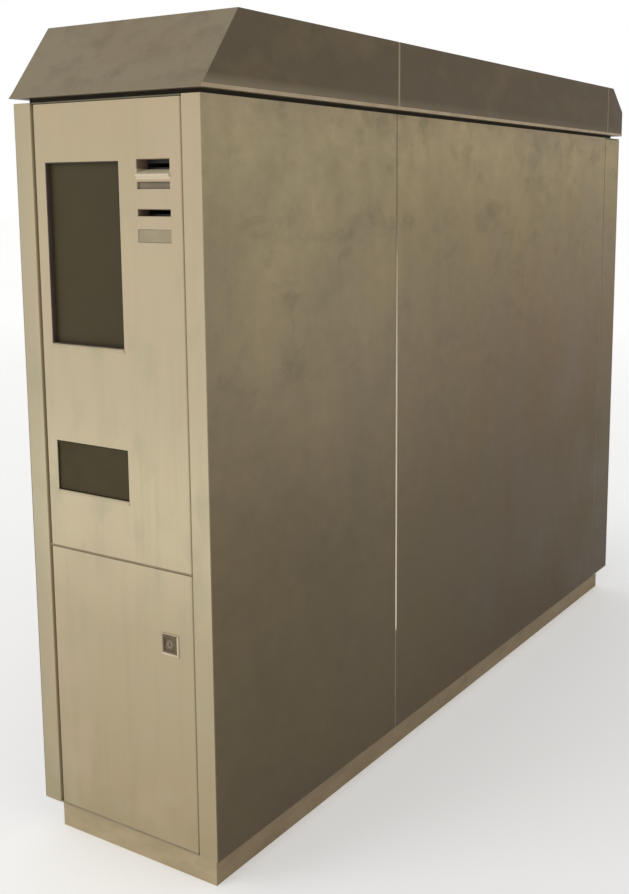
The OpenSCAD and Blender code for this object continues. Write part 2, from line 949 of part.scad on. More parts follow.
module display_panel() {
    side = housing_side - sheet;
    color(smoke) block([window_x0 - side, panel_y, window_z0 - side],
                       [window_x1 + side, panel_y + panel_t, window_z1 + side]);
}

// Housing around the glass and the display, open towards the door skin
module display_housing() {
    side = housing_side;
    color(dark) difference() {
        block([window_x0 - side, skin_in, window_z0 - side],
              [window_x1 + side, display_back, window_z1 + side]);
        block([window_x0 - glass_hold, skin_in - cut, window_z0 - glass_hold],
              [window_x1 + glass_hold, glass_y + glass_t, window_z1 + glass_hold]);
        block([window_x0 - glass_hold + glass_bead, skin_in, window_z0 - glass_hold + glass_bead],
              [window_x1 + glass_hold - glass_bead, panel_y + cut, window_z1 + glass_hold - glass_bead]);
        block([window_x0 - side + sheet, panel_y, window_z0 - side + sheet],
              [window_x1 + side - sheet, display_back - sheet, window_z1 + side - sheet]);
    }
}

// A slot's bezel: a square tunnel flush with the skin, with a flange behind it
module slot_bezel(z0, z1) {
    difference() {
        union() {
            block([slot_x0 - bezel_wall, -half_l, z0 - bezel_wall],
                  [slot_x1 + bezel_wall, bezel_back, z1 + bezel_wall]);
            block([slot_x0 - bezel_flange, skin_in, z0 - bezel_lip],
                  [slot_x1 + bezel_flange, skin_in + sheet, z1 + bezel_lip]);
        }
        block([slot_x0, -half_l - cut, z0], [slot_x1, bezel_back + cut, z1]);
    }
}

module note_slot_bezel() {
    color(sand) {
        slot_bezel(ramp_z0, note_z1);
        // Ramp that leads a note up into the slot
        along_x(slot_x0, slot_x1) polygon([
            [-half_l, ramp_z0],
            [-half_l - ramp_out, ramp_z0 + ramp_out],
            [-half_l - ramp_out, ramp_z0 + ramp_out + ramp_nose],
            [-half_l + ramp_h, note_z0],
            [bezel_back, note_z0],
            [bezel_back, ramp_z0]
        ]);
    }
}

module card_slot_bezel() {
    color(sand) difference() {
        slot_bezel(card_z0, card_z1);
        rod_x(slot_x0 - bezel_wall - cut, slot_x1 + bezel_wall + cut, shutter_y, shutter_z,
              shutter_pin_r + run);
    }
}

module card_shutter() {
    low = card_z0 + push_gap;
    color(brown) {
        rod_x(slot_x0 - bezel_wall, slot_x1 + bezel_wall, shutter_y, shutter_z, shutter_pin_r);
        block([slot_x0 + push_gap, shutter_y - shutter_t / 2, low],
              [slot_x1 - push_gap, shutter_y + shutter_t / 2, shutter_z]);
    }
}

module pass_slot_bezel() {
    color(sand) slot_bezel(pass_z0, pass_z1);
}

module push_plate() {
    mid_z = (push_z0 + push_z1) / 2;
    plate_y = -half_l + push_in;
    color(buff) {
        block([slot_x0, plate_y, push_z0], [slot_x1, plate_y + push_t, push_z1]);
        rod_y(slot_x, plate_y + push_t - cut, skin_in + push_box_d, mid_z, stem_r);
    }
}

module push_plate_housing() {
    mid_z = (push_z0 + push_z1) / 2;
    color(dark) difference() {
        block([slot_x0 - bezel_flange, skin_in, push_z0 - bezel_flange / 2],
              [slot_x1 + bezel_flange, skin_in + push_box_d, push_z1 + bezel_flange / 2]);
        block([slot_x0 - push_gap, skin_in - cut, push_z0 - push_gap],
              [slot_x1 + push_gap, skin_in + push_box_d - push_back_t, push_z1 + push_gap]);
        rod_y(slot_x, skin_in, skin_in + push_box_d + cut, mid_z, stem_r + run);
    }
}

module note_validator() {
    low = note_z0 - path_h;
    color(dark) difference() {
        block([slot_x - module_side, bezel_back, low],
              [slot_x + module_side, bezel_back + module_depth, low + note_box_h]);
        block([slot_x0 + path_side, bezel_back - cut, note_z0 + path_rise],
              [slot_x1 - path_side, bezel_back + note_path_d, note_z0 + path_rise + path_h]);
    }
}

// One reader serves the card slot above and the pass slot below
module card_reader() {
    color(dark) difference() {
        block([slot_x - module_side, bezel_back, pass_z0 - reader_edge],
              [slot_x + module_side, bezel_back + reader_d, card_z1 + reader_edge]);
        for (z = [card_z0 + path_rise, pass_z0 + path_rise])
            block([slot_x0 + path_side, bezel_back - cut, z],
                  [slot_x1 - path_side, bezel_back + card_path_d, z + card_h / 2]);
    }
}

module ticket_tray() {
    x0 = window_x0 - flap_clear;
    x1 = window_x1 + flap_clear;
    color(dark) difference() {
        block([x0 - sheet, skin_in, tray_floor - sheet], [x1 + sheet, tray_back + sheet, tray_top + sheet]);
        block([x0, skin_in - cut, tray_floor], [x1, tray_back, tray_top]);
        block([printer_x - ticket_w / 2 - inlet_side, inlet_y0, tray_top - cut],
              [window_x1, inlet_y1, tray_top + sheet + cut]);
        rod_x(x0 - sheet - cut, x1 + sheet + cut, flap_y, flap_z, flap_pin_r + run);
    }
}

module tray_flap() {
    side = flap_clear / 2;
    tray_side = flap_clear + sheet;
    color(smoke) {
        block([window_x0 - side, flap_y - flap_t / 2, tray_z0 + side],
              [window_x1 + side, flap_y + flap_t / 2, flap_z]);
        rod_x(window_x0 - side, window_x1 + side, flap_y, flap_z, flap_r);
        rod_x(window_x0 - tray_side, window_x1 + tray_side, flap_y, flap_z, flap_pin_r);
    }
}

// ---- Lower door ----

module lower_door_skin() {
    color(sand) difference() {
        translate([-door_x, -half_l, lower_z0]) door_shell(door_w, door_d, lower_z1 - lower_z0);
        rod_y(lock_x, -half_l - cut, skin_in + cut, lock_z, lock_r + sleeve_wall);
    }
}

// Lock escutcheon: a square plate with a dished face and a sleeve through the door
module front_lock_escutcheon() {
    face = -half_l - escutcheon_out;
    color(dark) difference() {
        union() {
            block([lock_x - escutcheon_w / 2, face, lock_z - escutcheon_h / 2],
                  [lock_x + escutcheon_w / 2, -half_l, lock_z + escutcheon_h / 2]);
            rod_y(lock_x, face, -half_l + door_d - sheet, lock_z, lock_r + sleeve_wall);
        }
        block([lock_x - recess, face - cut, lock_z - recess],
              [lock_x + recess, face + recess_d, lock_z + recess]);
        rod_y(lock_x, face, -half_l + door_d, lock_z, lock_r + run);
    }
}

module front_lock_cylinder() {
    color(zinc) {
        rod_y(lock_x, -half_l - escutcheon_out + recess_d, cam_y, lock_z, lock_r);
        block([lock_x - cam_w / 2, cam_y, lock_z - cam_w / 2],
              [lock_x + cam_w / 2, cam_y + cam_t, lock_z + cam_len]);
    }
}

// ---- Rear door ----

module rear_door() {
    color(bronze) difference() {
        union() {
            translate([half_w, half_l, lower_z0]) rotate([0, 0, 180]) rear_shell();
            rod_y(rear_lock_x, rear_y, half_l - sheet / 2, rear_lock_z, lock_r + rear_sleeve_wall);
            block([rear_lock_x - escutcheon_w / 2, half_l - sheet / 2, rear_lock_z - escutcheon_h / 2],
                  [rear_lock_x + escutcheon_w / 2, half_l + escutcheon_out, rear_lock_z + escutcheon_h / 2]);
        }
        block([rear_lock_x - recess, half_l + escutcheon_out - recess_d, rear_lock_z - recess],
              [rear_lock_x + recess, half_l + escutcheon_out + cut, rear_lock_z + recess]);
        rod_y(rear_lock_x, rear_y - cut, half_l + escutcheon_out, rear_lock_z, lock_r + run);
        for (row = [0 : vent_rows - 1], z = [vent_low_z, vent_high_z])
            block([-vent_x, half_l - sheet - cut, z + row * vent_pitch],
                  [vent_x, half_l + cut, z + row * vent_pitch + vent_h]);
    }
}

// The rear door's shell, drawn with its outer face at y = 0 and its hinged side at x = w
module rear_shell() {
    h = upper_z1 - lower_z0;
    pin_y = rear_door_d - hinge_r;
    difference() {
        union() {
            difference() {
                rear_slab(body_w, rear_door_d, h, hinge_r, 0);
                translate([sheet, sheet, sheet])
                    rear_slab(body_w - 2 * sheet, rear_door_d - sheet, h - 2 * sheet, hinge_r - sheet, cut);
            }
            for (z = [0, h - sheet - knuckle_h])
                translate([body_w - hinge_r, pin_y, z])
                    cylinder(h = sheet + knuckle_h, r = hinge_r - sheet / 2);
        }
        for (z = [-cut, h - sheet - knuckle_h - cut])
            translate([body_w - hinge_r, pin_y, z])
                cylinder(h = sheet + knuckle_h + 2 * cut, r = pin_r + run);
    }
}

// A slab whose corner at x = w and y = d is rounded, drawn past y = d by extra
module rear_slab(w, d, h, r, extra) {
    cube([w - r, d + extra, h]);
    translate([w - r - cut, 0, 0]) cube([r + cut, d - r, h]);
    translate([w - r, d - r, 0]) cylinder(h = h, r = r);
}

module rear_lock_cylinder() {
    color(zinc) {
        rod_y(rear_lock_x, rear_cam_y, half_l + escutcheon_out - recess_d, rear_lock_z, lock_r);
        block([rear_lock_x - cam_w / 2, rear_cam_y, rear_lock_z - cam_w / 2],
              [rear_lock_x + cam_w / 2, rear_cam_y + cam_t, rear_lock_z + cam_len]);
    }
}

// ---- Front bay ----

module bulkhead() {
    color(steel) difference() {
        block([-clear_x, fan_y1, floor_z], [clear_x, fan_y1 + sheet, ceiling_z - tube]);
        rod_y(fan_x, fan_y1 - cut, fan_y1 + sheet + cut, fan_z, fan_r);
    }
}

module shelves() {
    inside = drop_w / 2 - tube_wall;
    color(steel) {
        difference() {
            block([-frame_x, inlet_y1 + shelf_lead, shelf_z - sheet],
                  [frame_x, fan_y1 - tube / 2 - bay_fit, shelf_z]);
            block([drop_x - inside, drop_y - inside, shelf_z - sheet - cut],
                  [drop_x + inside, drop_y + inside, shelf_z + cut]);
        }
        block([-frame_x, fan_y1 + tube, shelf_z - sheet], [frame_x, rear_tube_y - bay_fit, shelf_z]);
    }
}

module printer_chassis() {
    side = [
        [printer_front, shelf_z], [printer_front + printer_len, shelf_z],
        [printer_front + printer_len, shelf_z + cheek_low],
        [roll_y + cheek_half, roll_z + cheek_half], [roll_y - cheek_half, roll_z + cheek_half],
        [printer_front + cheek_front, shelf_z + head_top],
        [printer_front, shelf_z + head_top]
    ];
    color(zinc) difference() {
        union() {
            for (x = [printer_x0, printer_x1 - chassis_t])
                along_x(x, x + chassis_t) polygon(side);
            block([printer_x0, printer_front, shelf_z],
                  [printer_x1, printer_front + printer_len, shelf_z + chassis_t]);
            rod_x(printer_x0, printer_x1, roll_y, roll_z, spindle_r);
            // Chute that drops tickets into the tray
            along_x(printer_x - ticket_w / 2, printer_x + ticket_w / 2) polygon([
                [chute_tip_y, tray_top + sheet + chute_drop],
                [printer_front, platen_z],
                [printer_front, platen_z + chute_t],
                [chute_tip_y, tray_top + sheet + chute_drop + chute_t]
            ]);
            block([printer_x0, printer_front, platen_z - chute_bar],
                  [printer_x1, printer_front + chassis_t, platen_z + chute_t]);
        }
        for (x = [printer_x0, printer_x1 - chassis_t])
            rod_x(x - cut, x + chassis_t + cut, platen_y, platen_z, shaft_r + run);
    }
}

module print_head() {
    low = platen_z + platen_r + ticket_gap;
    color(dark) {
        block([printer_x0 + chassis_t, platen_y - printhead_half, low + heat_strip],
              [printer_x1 - chassis_t, platen_y + printhead_half, low + printhead_h]);
        block([printer_x - ticket_w / 2, platen_y - heat_strip, low],
              [printer_x + ticket_w / 2, platen_y + heat_strip, low + heat_strip]);
    }
}

module platen_roller() {
    half = ticket_w / 2 + platen_over;
    color(dark) {
        rod_x(printer_x - half, printer_x + half, platen_y, platen_z, platen_r);
        rod_x(printer_x0, printer_x1, platen_y, platen_z, shaft_r);
    }
}

module ticket_roll() {
    color(paper) difference() {
        rod_x(printer_x - ticket_w / 2, printer_x + ticket_w / 2, roll_y, roll_z, roll_r);
        rod_x(printer_x - ticket_w, printer_x + ticket_w, roll_y, roll_z, spindle_r + run);
    }
}

module coin_hopper() {
    spout_x1 = hopper_x0 + spout_w;
    spout_z = tray_top + sheet + spout_rise;
    color(dark) {
        difference() {
            block([hopper_x0, hopper_y0, shelf_z],
                  [hopper_x0 + hopper_w, hopper_y0 + hopper_w, shelf_z + hopper_h]);
            rod_z(hopper_x, hopper_y, disc_z, shelf_z + hopper_h + cut, bowl_r);
        }
        rod_z(hopper_x, hopper_y, disc_z - cut, disc_z + disc_t + pin_over, hopper_pin_r);
        // Coin spout, on edge, over the tray's inlet
        difference() {
            block([hopper_x0, chute_tip_y, spout_z], [spout_x1, hopper_y0, spout_z + spout_h]);
            block([hopper_x0 + spout_wall, chute_tip_y - cut, spout_z - cut],
                  [spout_x1 - spout_wall, hopper_y0 - spout_shut, spout_z + spout_h - spout_wall]);
        }
    }
}

module hopper_disc() {
    color(zinc) difference() {
        rod_z(hopper_x, hopper_y, disc_z + disc_lift, disc_z + disc_t, bowl_r - disc_side);
        rod_z(hopper_x, hopper_y, disc_z - cut, disc_z + disc_t + cut, hopper_pin_r + run);
        for (hole = [0 : coin_holes - 1])
            rod_z(hopper_x + coin_ring_r * cos(hole * 360 / coin_holes),
                  hopper_y + coin_ring_r * sin(hole * 360 / coin_holes),
                  disc_z - cut, disc_z + disc_t + cut, coin_hole_r);
    }
}

module controller() {
    color(steel) block([drop_x - control_w / 2, control_y, shelf_z],
                       [drop_x + control_w / 2, control_y + control_d, shelf_z + control_h]);
}

module power_supply() {
    color(dark) block([drop_x - control_w / 2, supply_y, shelf_z],
                      [drop_x + control_w / 2, supply_y + supply_d, shelf_z + supply_h]);
}

module cash_drop_tube() {
    color(zinc) tube_bar([drop_x - drop_w / 2, drop_y - drop_w / 2, cash_z0 + cash_h + drop_gap],
                         [drop_x + drop_w / 2, drop_y + drop_w / 2, shelf_z - sheet], [0, 0, 1]);
}

module cash_box_guide() {
    side = cash_gap + guide_t;
    color(zinc) difference() {
        block([cash_x0 - side, cash_y0, floor_z],
              [cash_x1 + side, cash_y0 + cash_d + guide_t, floor_z + guide_h]);
        block([cash_x0 - cash_gap, cash_y0 - cut, cash_z0],
              [cash_x1 + cash_gap, cash_y0 + cash_d, floor_z + guide_h + cut]);
    }
}

module cash_box() {
    top = cash_z0 + cash_h;
    handle_y = cash_y0 - handle_out;
    handle_z = cash_z0 + handle_rise;
    color(grey) {
        difference() {
            block([cash_x0, cash_y0, cash_z0], [cash_x1, cash_y0 + cash_d, top]);
            block([cash_x0 + cash_wall, cash_y0 + cash_wall, cash_z0 + cash_wall],
                  [cash_x1 - cash_wall, cash_y0 + cash_d - cash_wall, top - cash_wall]);
            block([drop_x - drop_w / 2, drop_y - drop_w / 2, top - cash_wall - cut],
                  [drop_x + drop_w / 2, drop_y + drop_w / 2, top + cut]);
        }
        for (x = [cash_x - handle_half, cash_x + handle_half - handle_t])
            block([x, handle_y, handle_z], [x + handle_t, cash_y0, handle_z + handle_h]);
        block([cash_x - handle_half, handle_y, handle_z],
              [cash_x + handle_half, handle_y + handle_t, handle_z + handle_h]);
    }
}

// ---- Rear bay and services ----

module distribution_board() {
    low = shelf_z + board_rise;
    color(steel) block([-board_w / 2 - board_left, fan_y1 + sheet, low],
                       [board_w / 2 - board_left, fan_y1 + sheet + board_d, low + board_h]);
}

module batteries() {
    pitch_x = battery_w + battery_gap;
    pitch_y = battery_d + battery_gap;
    color(dark)
        for (column = [0, 1], row = [0 : battery_count / 2 - 1])
            translate([(column - 0.5) * pitch_x, row * pitch_y, 0])
                block([-battery_w / 2, battery_y0, floor_z],
                      [battery_w / 2, battery_y0 + battery_d, floor_z + battery_h]);
}

module cable_gland() {
    outer = gland_r + gland_wall;
    color(dark) difference() {
        union() {
            rod_z(gland_x, gland_y, plinth_h - gland_down, floor_z + gland_up, outer);
            rod_z(gland_x, gland_y, floor_z, floor_z + gland_up / 2, gland_r + gland_flange);
            rod_z(gland_x, gland_y, plinth_h - gland_down, plinth_h, gland_r + gland_flange);
        }
        rod_z(gland_x, gland_y, 0, top_z, gland_r);
    }
}

module fan_housing() {
    half = fan_w / 2;
    reach = fan_r + cut;
    hub_y0 = fan_y1 - fan_rim;
    hub_y1 = hub_y0 + spoke_t;
    color(dark) {
        difference() {
            block([fan_x - half, fan_y0, fan_z - half], [fan_x + half, fan_y1, fan_z + half]);
            rod_y(fan_x, fan_y0 - cut, fan_y1 + cut, fan_z, fan_r);
        }
        // Cross that carries the rotor's shaft
        block([fan_x - reach, hub_y0, fan_z - spoke_half], [fan_x + reach, hub_y1, fan_z + spoke_half]);
        block([fan_x - spoke_half, hub_y0, fan_z - reach], [fan_x + spoke_half, hub_y1, fan_z + reach]);
        rod_y(fan_x, hub_y0, hub_y1, fan_z, fan_hub_r);
        rod_y(fan_x, fan_y0 + fan_rim, hub_y0 + cut, fan_z, fan_shaft_r);
    }
}

module fan_rotor() {
    y0 = fan_y0 + fan_rim;
    y1 = fan_y1 - fan_rim - rotor_gap;
    color(dark) difference() {
        union() {
            rod_y(fan_x, y0, y1, fan_z, fan_hub_r);
            for (blade = [0 : fan_blades - 1])
                translate([fan_x, (y0 + y1) / 2, fan_z]) rotate([0, blade * 360 / fan_blades, 0])
                    translate([fan_hub_r - blade_t, 0, 0]) rotate([blade_pitch, 0, 0])
                        translate([0, -blade_chord / 2, -blade_t / 2])
                            cube([fan_r - blade_gap - fan_hub_r + blade_t / 2, blade_chord, blade_t]);
        }
        rod_y(fan_x, y0 - cut, y1 + cut, fan_z, fan_shaft_r + run);
    }
}

plinth();
base_plate();
frame_uprights();
frame_rails();
mid_rail();
corner_post_left();
corner_post_right();
side_panel_front_left();
side_panel_front_right();
side_panel_rear_left();
side_panel_rear_right();
side_joint_strips();
top_plate();
neck_ring();
roof_front();
roof_middle();
roof_rear();
roof_joint_bands();
roof_drip_edges();
fixing_bolts();
hinge_pins();
bulkhead();
shelves();
printer_chassis();
print_head();
platen_roller();
ticket_roll();
coin_hopper();
hopper_disc();
cash_drop_tube();
cash_box_guide();
cash_box();
controller();
power_supply();
distribution_board();
batteries();
cable_gland();
fan_housing();
fan_rotor();
upper_door_skin();
window_gasket();
window_glass();
display_panel();
display_housing();
note_slot_bezel();
card_slot_bezel();
pass_slot_bezel();
push_plate_housing();
note_validator();
card_reader();
ticket_tray();
tray_flap();
card_shutter();
push_plate();
upper_door_bolt();
lower_door_skin();
front_lock_escutcheon();
front_lock_cylinder();
rear_door();
rear_lock_cylinder();
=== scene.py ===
import bpy
import bmesh
import json
from math import radians, pi, sin, cos, asin, sqrt
from mathutils import Matrix, Vector


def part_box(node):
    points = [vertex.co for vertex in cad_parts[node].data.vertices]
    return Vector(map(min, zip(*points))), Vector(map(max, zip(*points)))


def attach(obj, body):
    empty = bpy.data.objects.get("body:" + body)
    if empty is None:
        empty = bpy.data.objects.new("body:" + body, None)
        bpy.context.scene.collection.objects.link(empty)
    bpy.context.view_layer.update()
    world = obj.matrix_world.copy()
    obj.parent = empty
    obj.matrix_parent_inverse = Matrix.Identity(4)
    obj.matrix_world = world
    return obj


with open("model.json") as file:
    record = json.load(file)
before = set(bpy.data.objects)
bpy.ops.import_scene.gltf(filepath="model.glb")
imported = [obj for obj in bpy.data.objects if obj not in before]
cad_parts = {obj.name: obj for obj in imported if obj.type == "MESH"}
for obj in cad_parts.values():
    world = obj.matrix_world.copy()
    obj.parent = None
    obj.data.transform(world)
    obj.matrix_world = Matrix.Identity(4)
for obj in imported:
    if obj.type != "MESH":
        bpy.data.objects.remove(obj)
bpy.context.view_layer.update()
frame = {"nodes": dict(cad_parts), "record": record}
nodes = frame["nodes"]
print("frame loaded:", len(nodes), "nodes")


def linear(hexText):
    # sRGB hex to the linear values that the shaders take
    channels = [int(hexText[i:i + 2], 16) / 255 for i in (1, 3, 5)]
    return [c / 12.92 if c <= 0.04045 else ((c + 0.055) / 1.055) ** 2.4 for c in channels] + [1.0]


def addNode(tree, kind, settings=None, links=None):
    node = tree.nodes.new("ShaderNode" + kind)
    for name, value in (settings or {}).items():
        if isinstance(name, int) or name in node.inputs:
            node.inputs[name].default_value = value
        else:
            setattr(node, name, value)
    for name, source in (links or {}).items():
        tree.links.new(source, node.inputs[name])
    return node


bodyLow, bodyHigh = (corner.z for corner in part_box("side_panel_front_right"))
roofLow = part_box("roof_front")[0].z
roofJoints = [(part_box(a)[1].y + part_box(b)[0].y) / 2
              for a, b in (("roof_front", "roof_middle"), ("roof_middle", "roof_rear"))]
lipShare = 0.46  # the note slot's lip is the lower part of its frame
noteLow, noteHigh = (corner.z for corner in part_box("note_slot_bezel"))
noteLip = noteLow + (noteHigh - noteLow) * lipShare
bevelSamples = 4  # rays that feel for the edges in the shaders


def addSource(tree, name, s):
    # what a mask is read from: one of the finish's own patterns, a place, the way a face looks, or its edges
    if name == "edge":
        # falls under 1 where a rounded edge would turn away from its flat
        soft = addNode(tree, "Bevel", {"Radius": s["edgeRadius"], "samples": bevelSamples})
        flat = addNode(tree, "NewGeometry")
        return addNode(tree, "VectorMath", {"operation": "DOT_PRODUCT"},
                       {0: soft.outputs[0], 1: flat.outputs["Normal"]}).outputs["Value"]
    # painted shade: how far a face turns to the side, so that finishes darken their side faces by it
    if name == "sideways":
        normal = addNode(tree, "NewGeometry").outputs["Normal"]
        facing = addNode(tree, "SeparateXYZ", None, {0: normal}).outputs[0]
        return addNode(tree, "Math", {"operation": "ABSOLUTE"}, {0: facing}).outputs[0]
    coords = addNode(tree, "TexCoord").outputs["Object"]
    if name in s["patterns"]:
        pattern = {"detail": 3.0, "rough": 0.55, "bend": 0.0, "shift": (0, 0, 0), **s["patterns"][name]}
        perMetre = [1000 / grain for grain in pattern["grain"]]
        scaled = addNode(tree, "Mapping", {"Location": pattern["shift"], "Scale": perMetre},
                         {"Vector": coords})
        return addNode(tree, "TexNoise",
                       {"Scale": 1.0, "Detail": pattern["detail"], "Roughness": pattern["rough"],
                        "Distortion": pattern["bend"]}, {"Vector": scaled.outputs[0]}).outputs[0]
    place = addNode(tree, "SeparateXYZ", None, {0: coords})
    if name == "height":
        return addNode(tree, "MapRange", {"From Min": bodyLow, "From Max": bodyHigh, "clamp": True},
                       {"Value": place.outputs[2]}).outputs[0]
    return place.outputs["xyz".index(name)]


def addMask(tree, sources, terms):
    # the product of its terms; each is (source, from, to, level at from, level at to)
    product = None
    for name, low, high, toLow, toHigh in terms:
        level = addNode(tree, "MapRange", {"From Min": low, "From Max": high, "To Min": toLow,
                                           "To Max": toHigh, "clamp": True},
                        {"Value": sources[name]}).outputs[0]
        if product is None:
            product = level
        else:
            product = addNode(tree, "Math", {"operation": "MULTIPLY"}, {0: product, 1: level}).outputs[0]
    return product


def addLayers(tree, sources, colour, layers):
    # lays each colour or grey level over the last one, through its mask
    for terms, over, blend in layers:
        mix = addNode(tree, "Mix", {"data_type": "RGBA", "blend_type": blend, 0: 1.0})
        level = over if isinstance(over, str) else addMask(tree, sources, [over])
        for index, value in ((0, addMask(tree, sources, terms)), (6, colour), (7, level)):
            if isinstance(value, str):
                mix.inputs[index].default_value = linear(value)
            elif value is not None:
                tree.links.new(value, mix.inputs[index])
        colour = mix.outputs[2]
    return colour


def newMaterial(name):
    material = bpy.data.materials.new(name)
    material.use_nodes = True
    tree = material.node_tree
    tree.nodes.clear()
    shader = addNode(tree, "BsdfPrincipled")
    addNode(tree, "OutputMaterial", None, {"Surface": shader.outputs[0]})
    return material, tree, shader


def makeFinish(name, s):
    # grains are in millimetres along X, Y and Z; the bump's depth and soft edge are in metres
    material, tree, shader = newMaterial(name)
    terms = [term for mask, over, blend in s["layers"] for term in mask]
    terms += [over for mask, over, blend in s["layers"] if not isinstance(over, str)]
    used = {term[0] for term in terms + [s["roughness"]]}
    if "bump" in s:
        used.add(s["bump"][0])
    if "ramp" in s:
        used.add("height")
    sources = {source: addSource(tree, source, s) for source in sorted(used)}
    colour = s.get("base")
    if "ramp" in s:
        ramp = addNode(tree, "ValToRGB", None, {0: sources["height"]})
        elements = ramp.color_ramp.elements
        ends = (elements[0], elements[1])
        for element, (place, tone) in zip(ends, (s["ramp"][0], s["ramp"][-1])):
            element.position = place
            element.color = linear(tone)
        for place, tone in s["ramp"][1:-1]:
            elements.new(place).color = linear(tone)
        colour = ramp.outputs[0]
    tree.links.new(addLayers(tree, sources, colour, s["layers"]), shader.inputs["Base Color"])
    tree.links.new(addMask(tree, sources, [s["roughness"]]), shader.inputs["Roughness"])
    shader.inputs["Metallic"].default_value = s.get("metallic", 0.0)
    shader.inputs["Specular IOR Level"].default_value = s.get("gloss", 0.5)
    if "bump" in s:
        pattern, strength, depth, softEdge = s["bump"]
        soft = addNode(tree, "Bevel", {"Radius": softEdge, "samples": bevelSamples})
        raised = addNode(tree, "Bump", {"Strength": strength, "Distance": depth},
                         {"Height": sources[pattern], "Normal": soft.outputs[0]})
        tree.links.new(raised.outputs[0], shader.inputs["Normal"])
    return material


# polyester powder coat on steel: sand-coloured, faint orange peel, patchy fading, dirt streaks to the foot, a
# tone darker towards the foot, and painted shade as a greyer strip on the left post
frontPaint = {
    "patterns": {"blotch": {"grain": (260, 260, 340)},
                 "patch": {"grain": (70, 70, 110), "shift": (4, 1, 7)},
                 "streak": {"grain": (30, 30, 420), "detail": 4.0, "rough": 0.6, "shift": (2, 9, 3)},
                 "peel": {"grain": (2.2, 2.2, 2.2), "detail": 2.0}},
    "ramp": [(0.0, "#a5946f"), (0.06, "#ad9a76"), (0.3, "#b8a785"), (0.42, "#c9ba97"), (0.5, "#cabb98"),
             (0.62, "#c1b190"), (0.8, "#bfae8d"), (0.93, "#b9a785"), (1.0, "#b8a481")],
    "layers": [([("blotch", 0.50, 0.68, 0.0, 0.55)], "#c2aa8d", "MIX"),
               ([("patch", 0.52, 0.72, 0.0, 0.5)], "#aea88a", "MIX"),
               ([("streak", 0.5, 0.75, 0.0, 1.0), ("height", 1.0, 0.0, 0.08, 0.3)], "#9c8d6c", "MIX"),
               # painted shade: a greyer band towards the left edge of the front, on the left post
               ([("x", -0.19, -0.24, 0.0, 0.42)], "#a39c7e", "MIX"),
               ([("edge", 0.995, 0.85, 0.0, 0.55)], "#cdc0a3", "MIX")],
    "edgeRadius": 0.003,
    "roughness": ("patch", 0.3, 0.7, 0.42, 0.6),
    "bump": ("peel", 0.06, 0.0004, 0.0015),
}

# brushed sheet under a bronze lacquer: painted shade darkens it towards the foot, a painted sheen pales it
# high up near the front, browner to the rear, with cloudy bloom and rain stains below the roof
sideSteel = {
    "patterns": {"cloud": {"grain": (210, 210, 300), "detail": 5.0, "rough": 0.6},
                 "speck": {"grain": (28, 60, 44), "detail": 4.0, "rough": 0.65, "shift": (3, 5, 1)},
                 "streak": {"grain": (40, 110, 620), "detail": 4.0, "rough": 0.6, "shift": (8, 2, 6)},
                 "drip": {"grain": (46, 120, 80), "rough": 0.6, "shift": (1, 7, 2)},
                 "stain": {"grain": (130, 190, 110), "detail": 5.0, "rough": 0.65, "bend": 0.4,
                           "shift": (9, 3, 8)},
                 "brushing": {"grain": (1.6, 1.6, 60), "detail": 2.0, "shift": (5, 5, 5)}},
    # painted shade: darker towards the foot, and a touch darker again right under the roof
    "ramp": [(0.0, "#584a33"), (0.12, "#5e5137"), (0.35, "#685a40"), (0.6, "#807155"), (0.82, "#948462"),
             (0.95, "#a6956f"), (1.0, "#a39170")],
    # painted sheen: paler high up and towards the front
    "layers": [([("y", -0.2, -0.9, 0.0, 1.0), ("height", 0.45, 0.9, 0.0, 0.45)], "#a5987a", "MIX"),
               ([("y", -0.5, 0.3, 0.0, 0.55), ("height", 0.95, 0.55, 0.08, 1.0)], "#d2b47c", "MULTIPLY"),
               ([], ("cloud", 0.3, 0.7, 0.84, 1.15), "MULTIPLY"),
               ([], ("speck", 0.3, 0.7, 1.06, 0.93), "MULTIPLY"),
               ([("streak", 0.48, 0.75, 0.0, 0.14)], "#5a4f3a", "MIX"),
               ([("drip", 0.5, 0.7, 0.0, 1.0), ("height", 0.86, 1.0, 0.0, 0.55)], "#6a664a", "MIX"),
               ([("stain", 0.54, 0.72, 0.0, 1.0), ("height", 0.3, 0.7, 0.12, 0.42)], "#5f553c", "MIX"),
               ([("edge", 0.995, 0.85, 0.0, 0.45)], "#a99c80", "MIX")],
    "edgeRadius": 0.003,
    "roughness": ("cloud", 0.3, 0.7, 0.38, 0.56), "metallic": 0.2, "gloss": 0.25,
    "bump": ("brushing", 0.08, 0.0003, 0.0015),
}
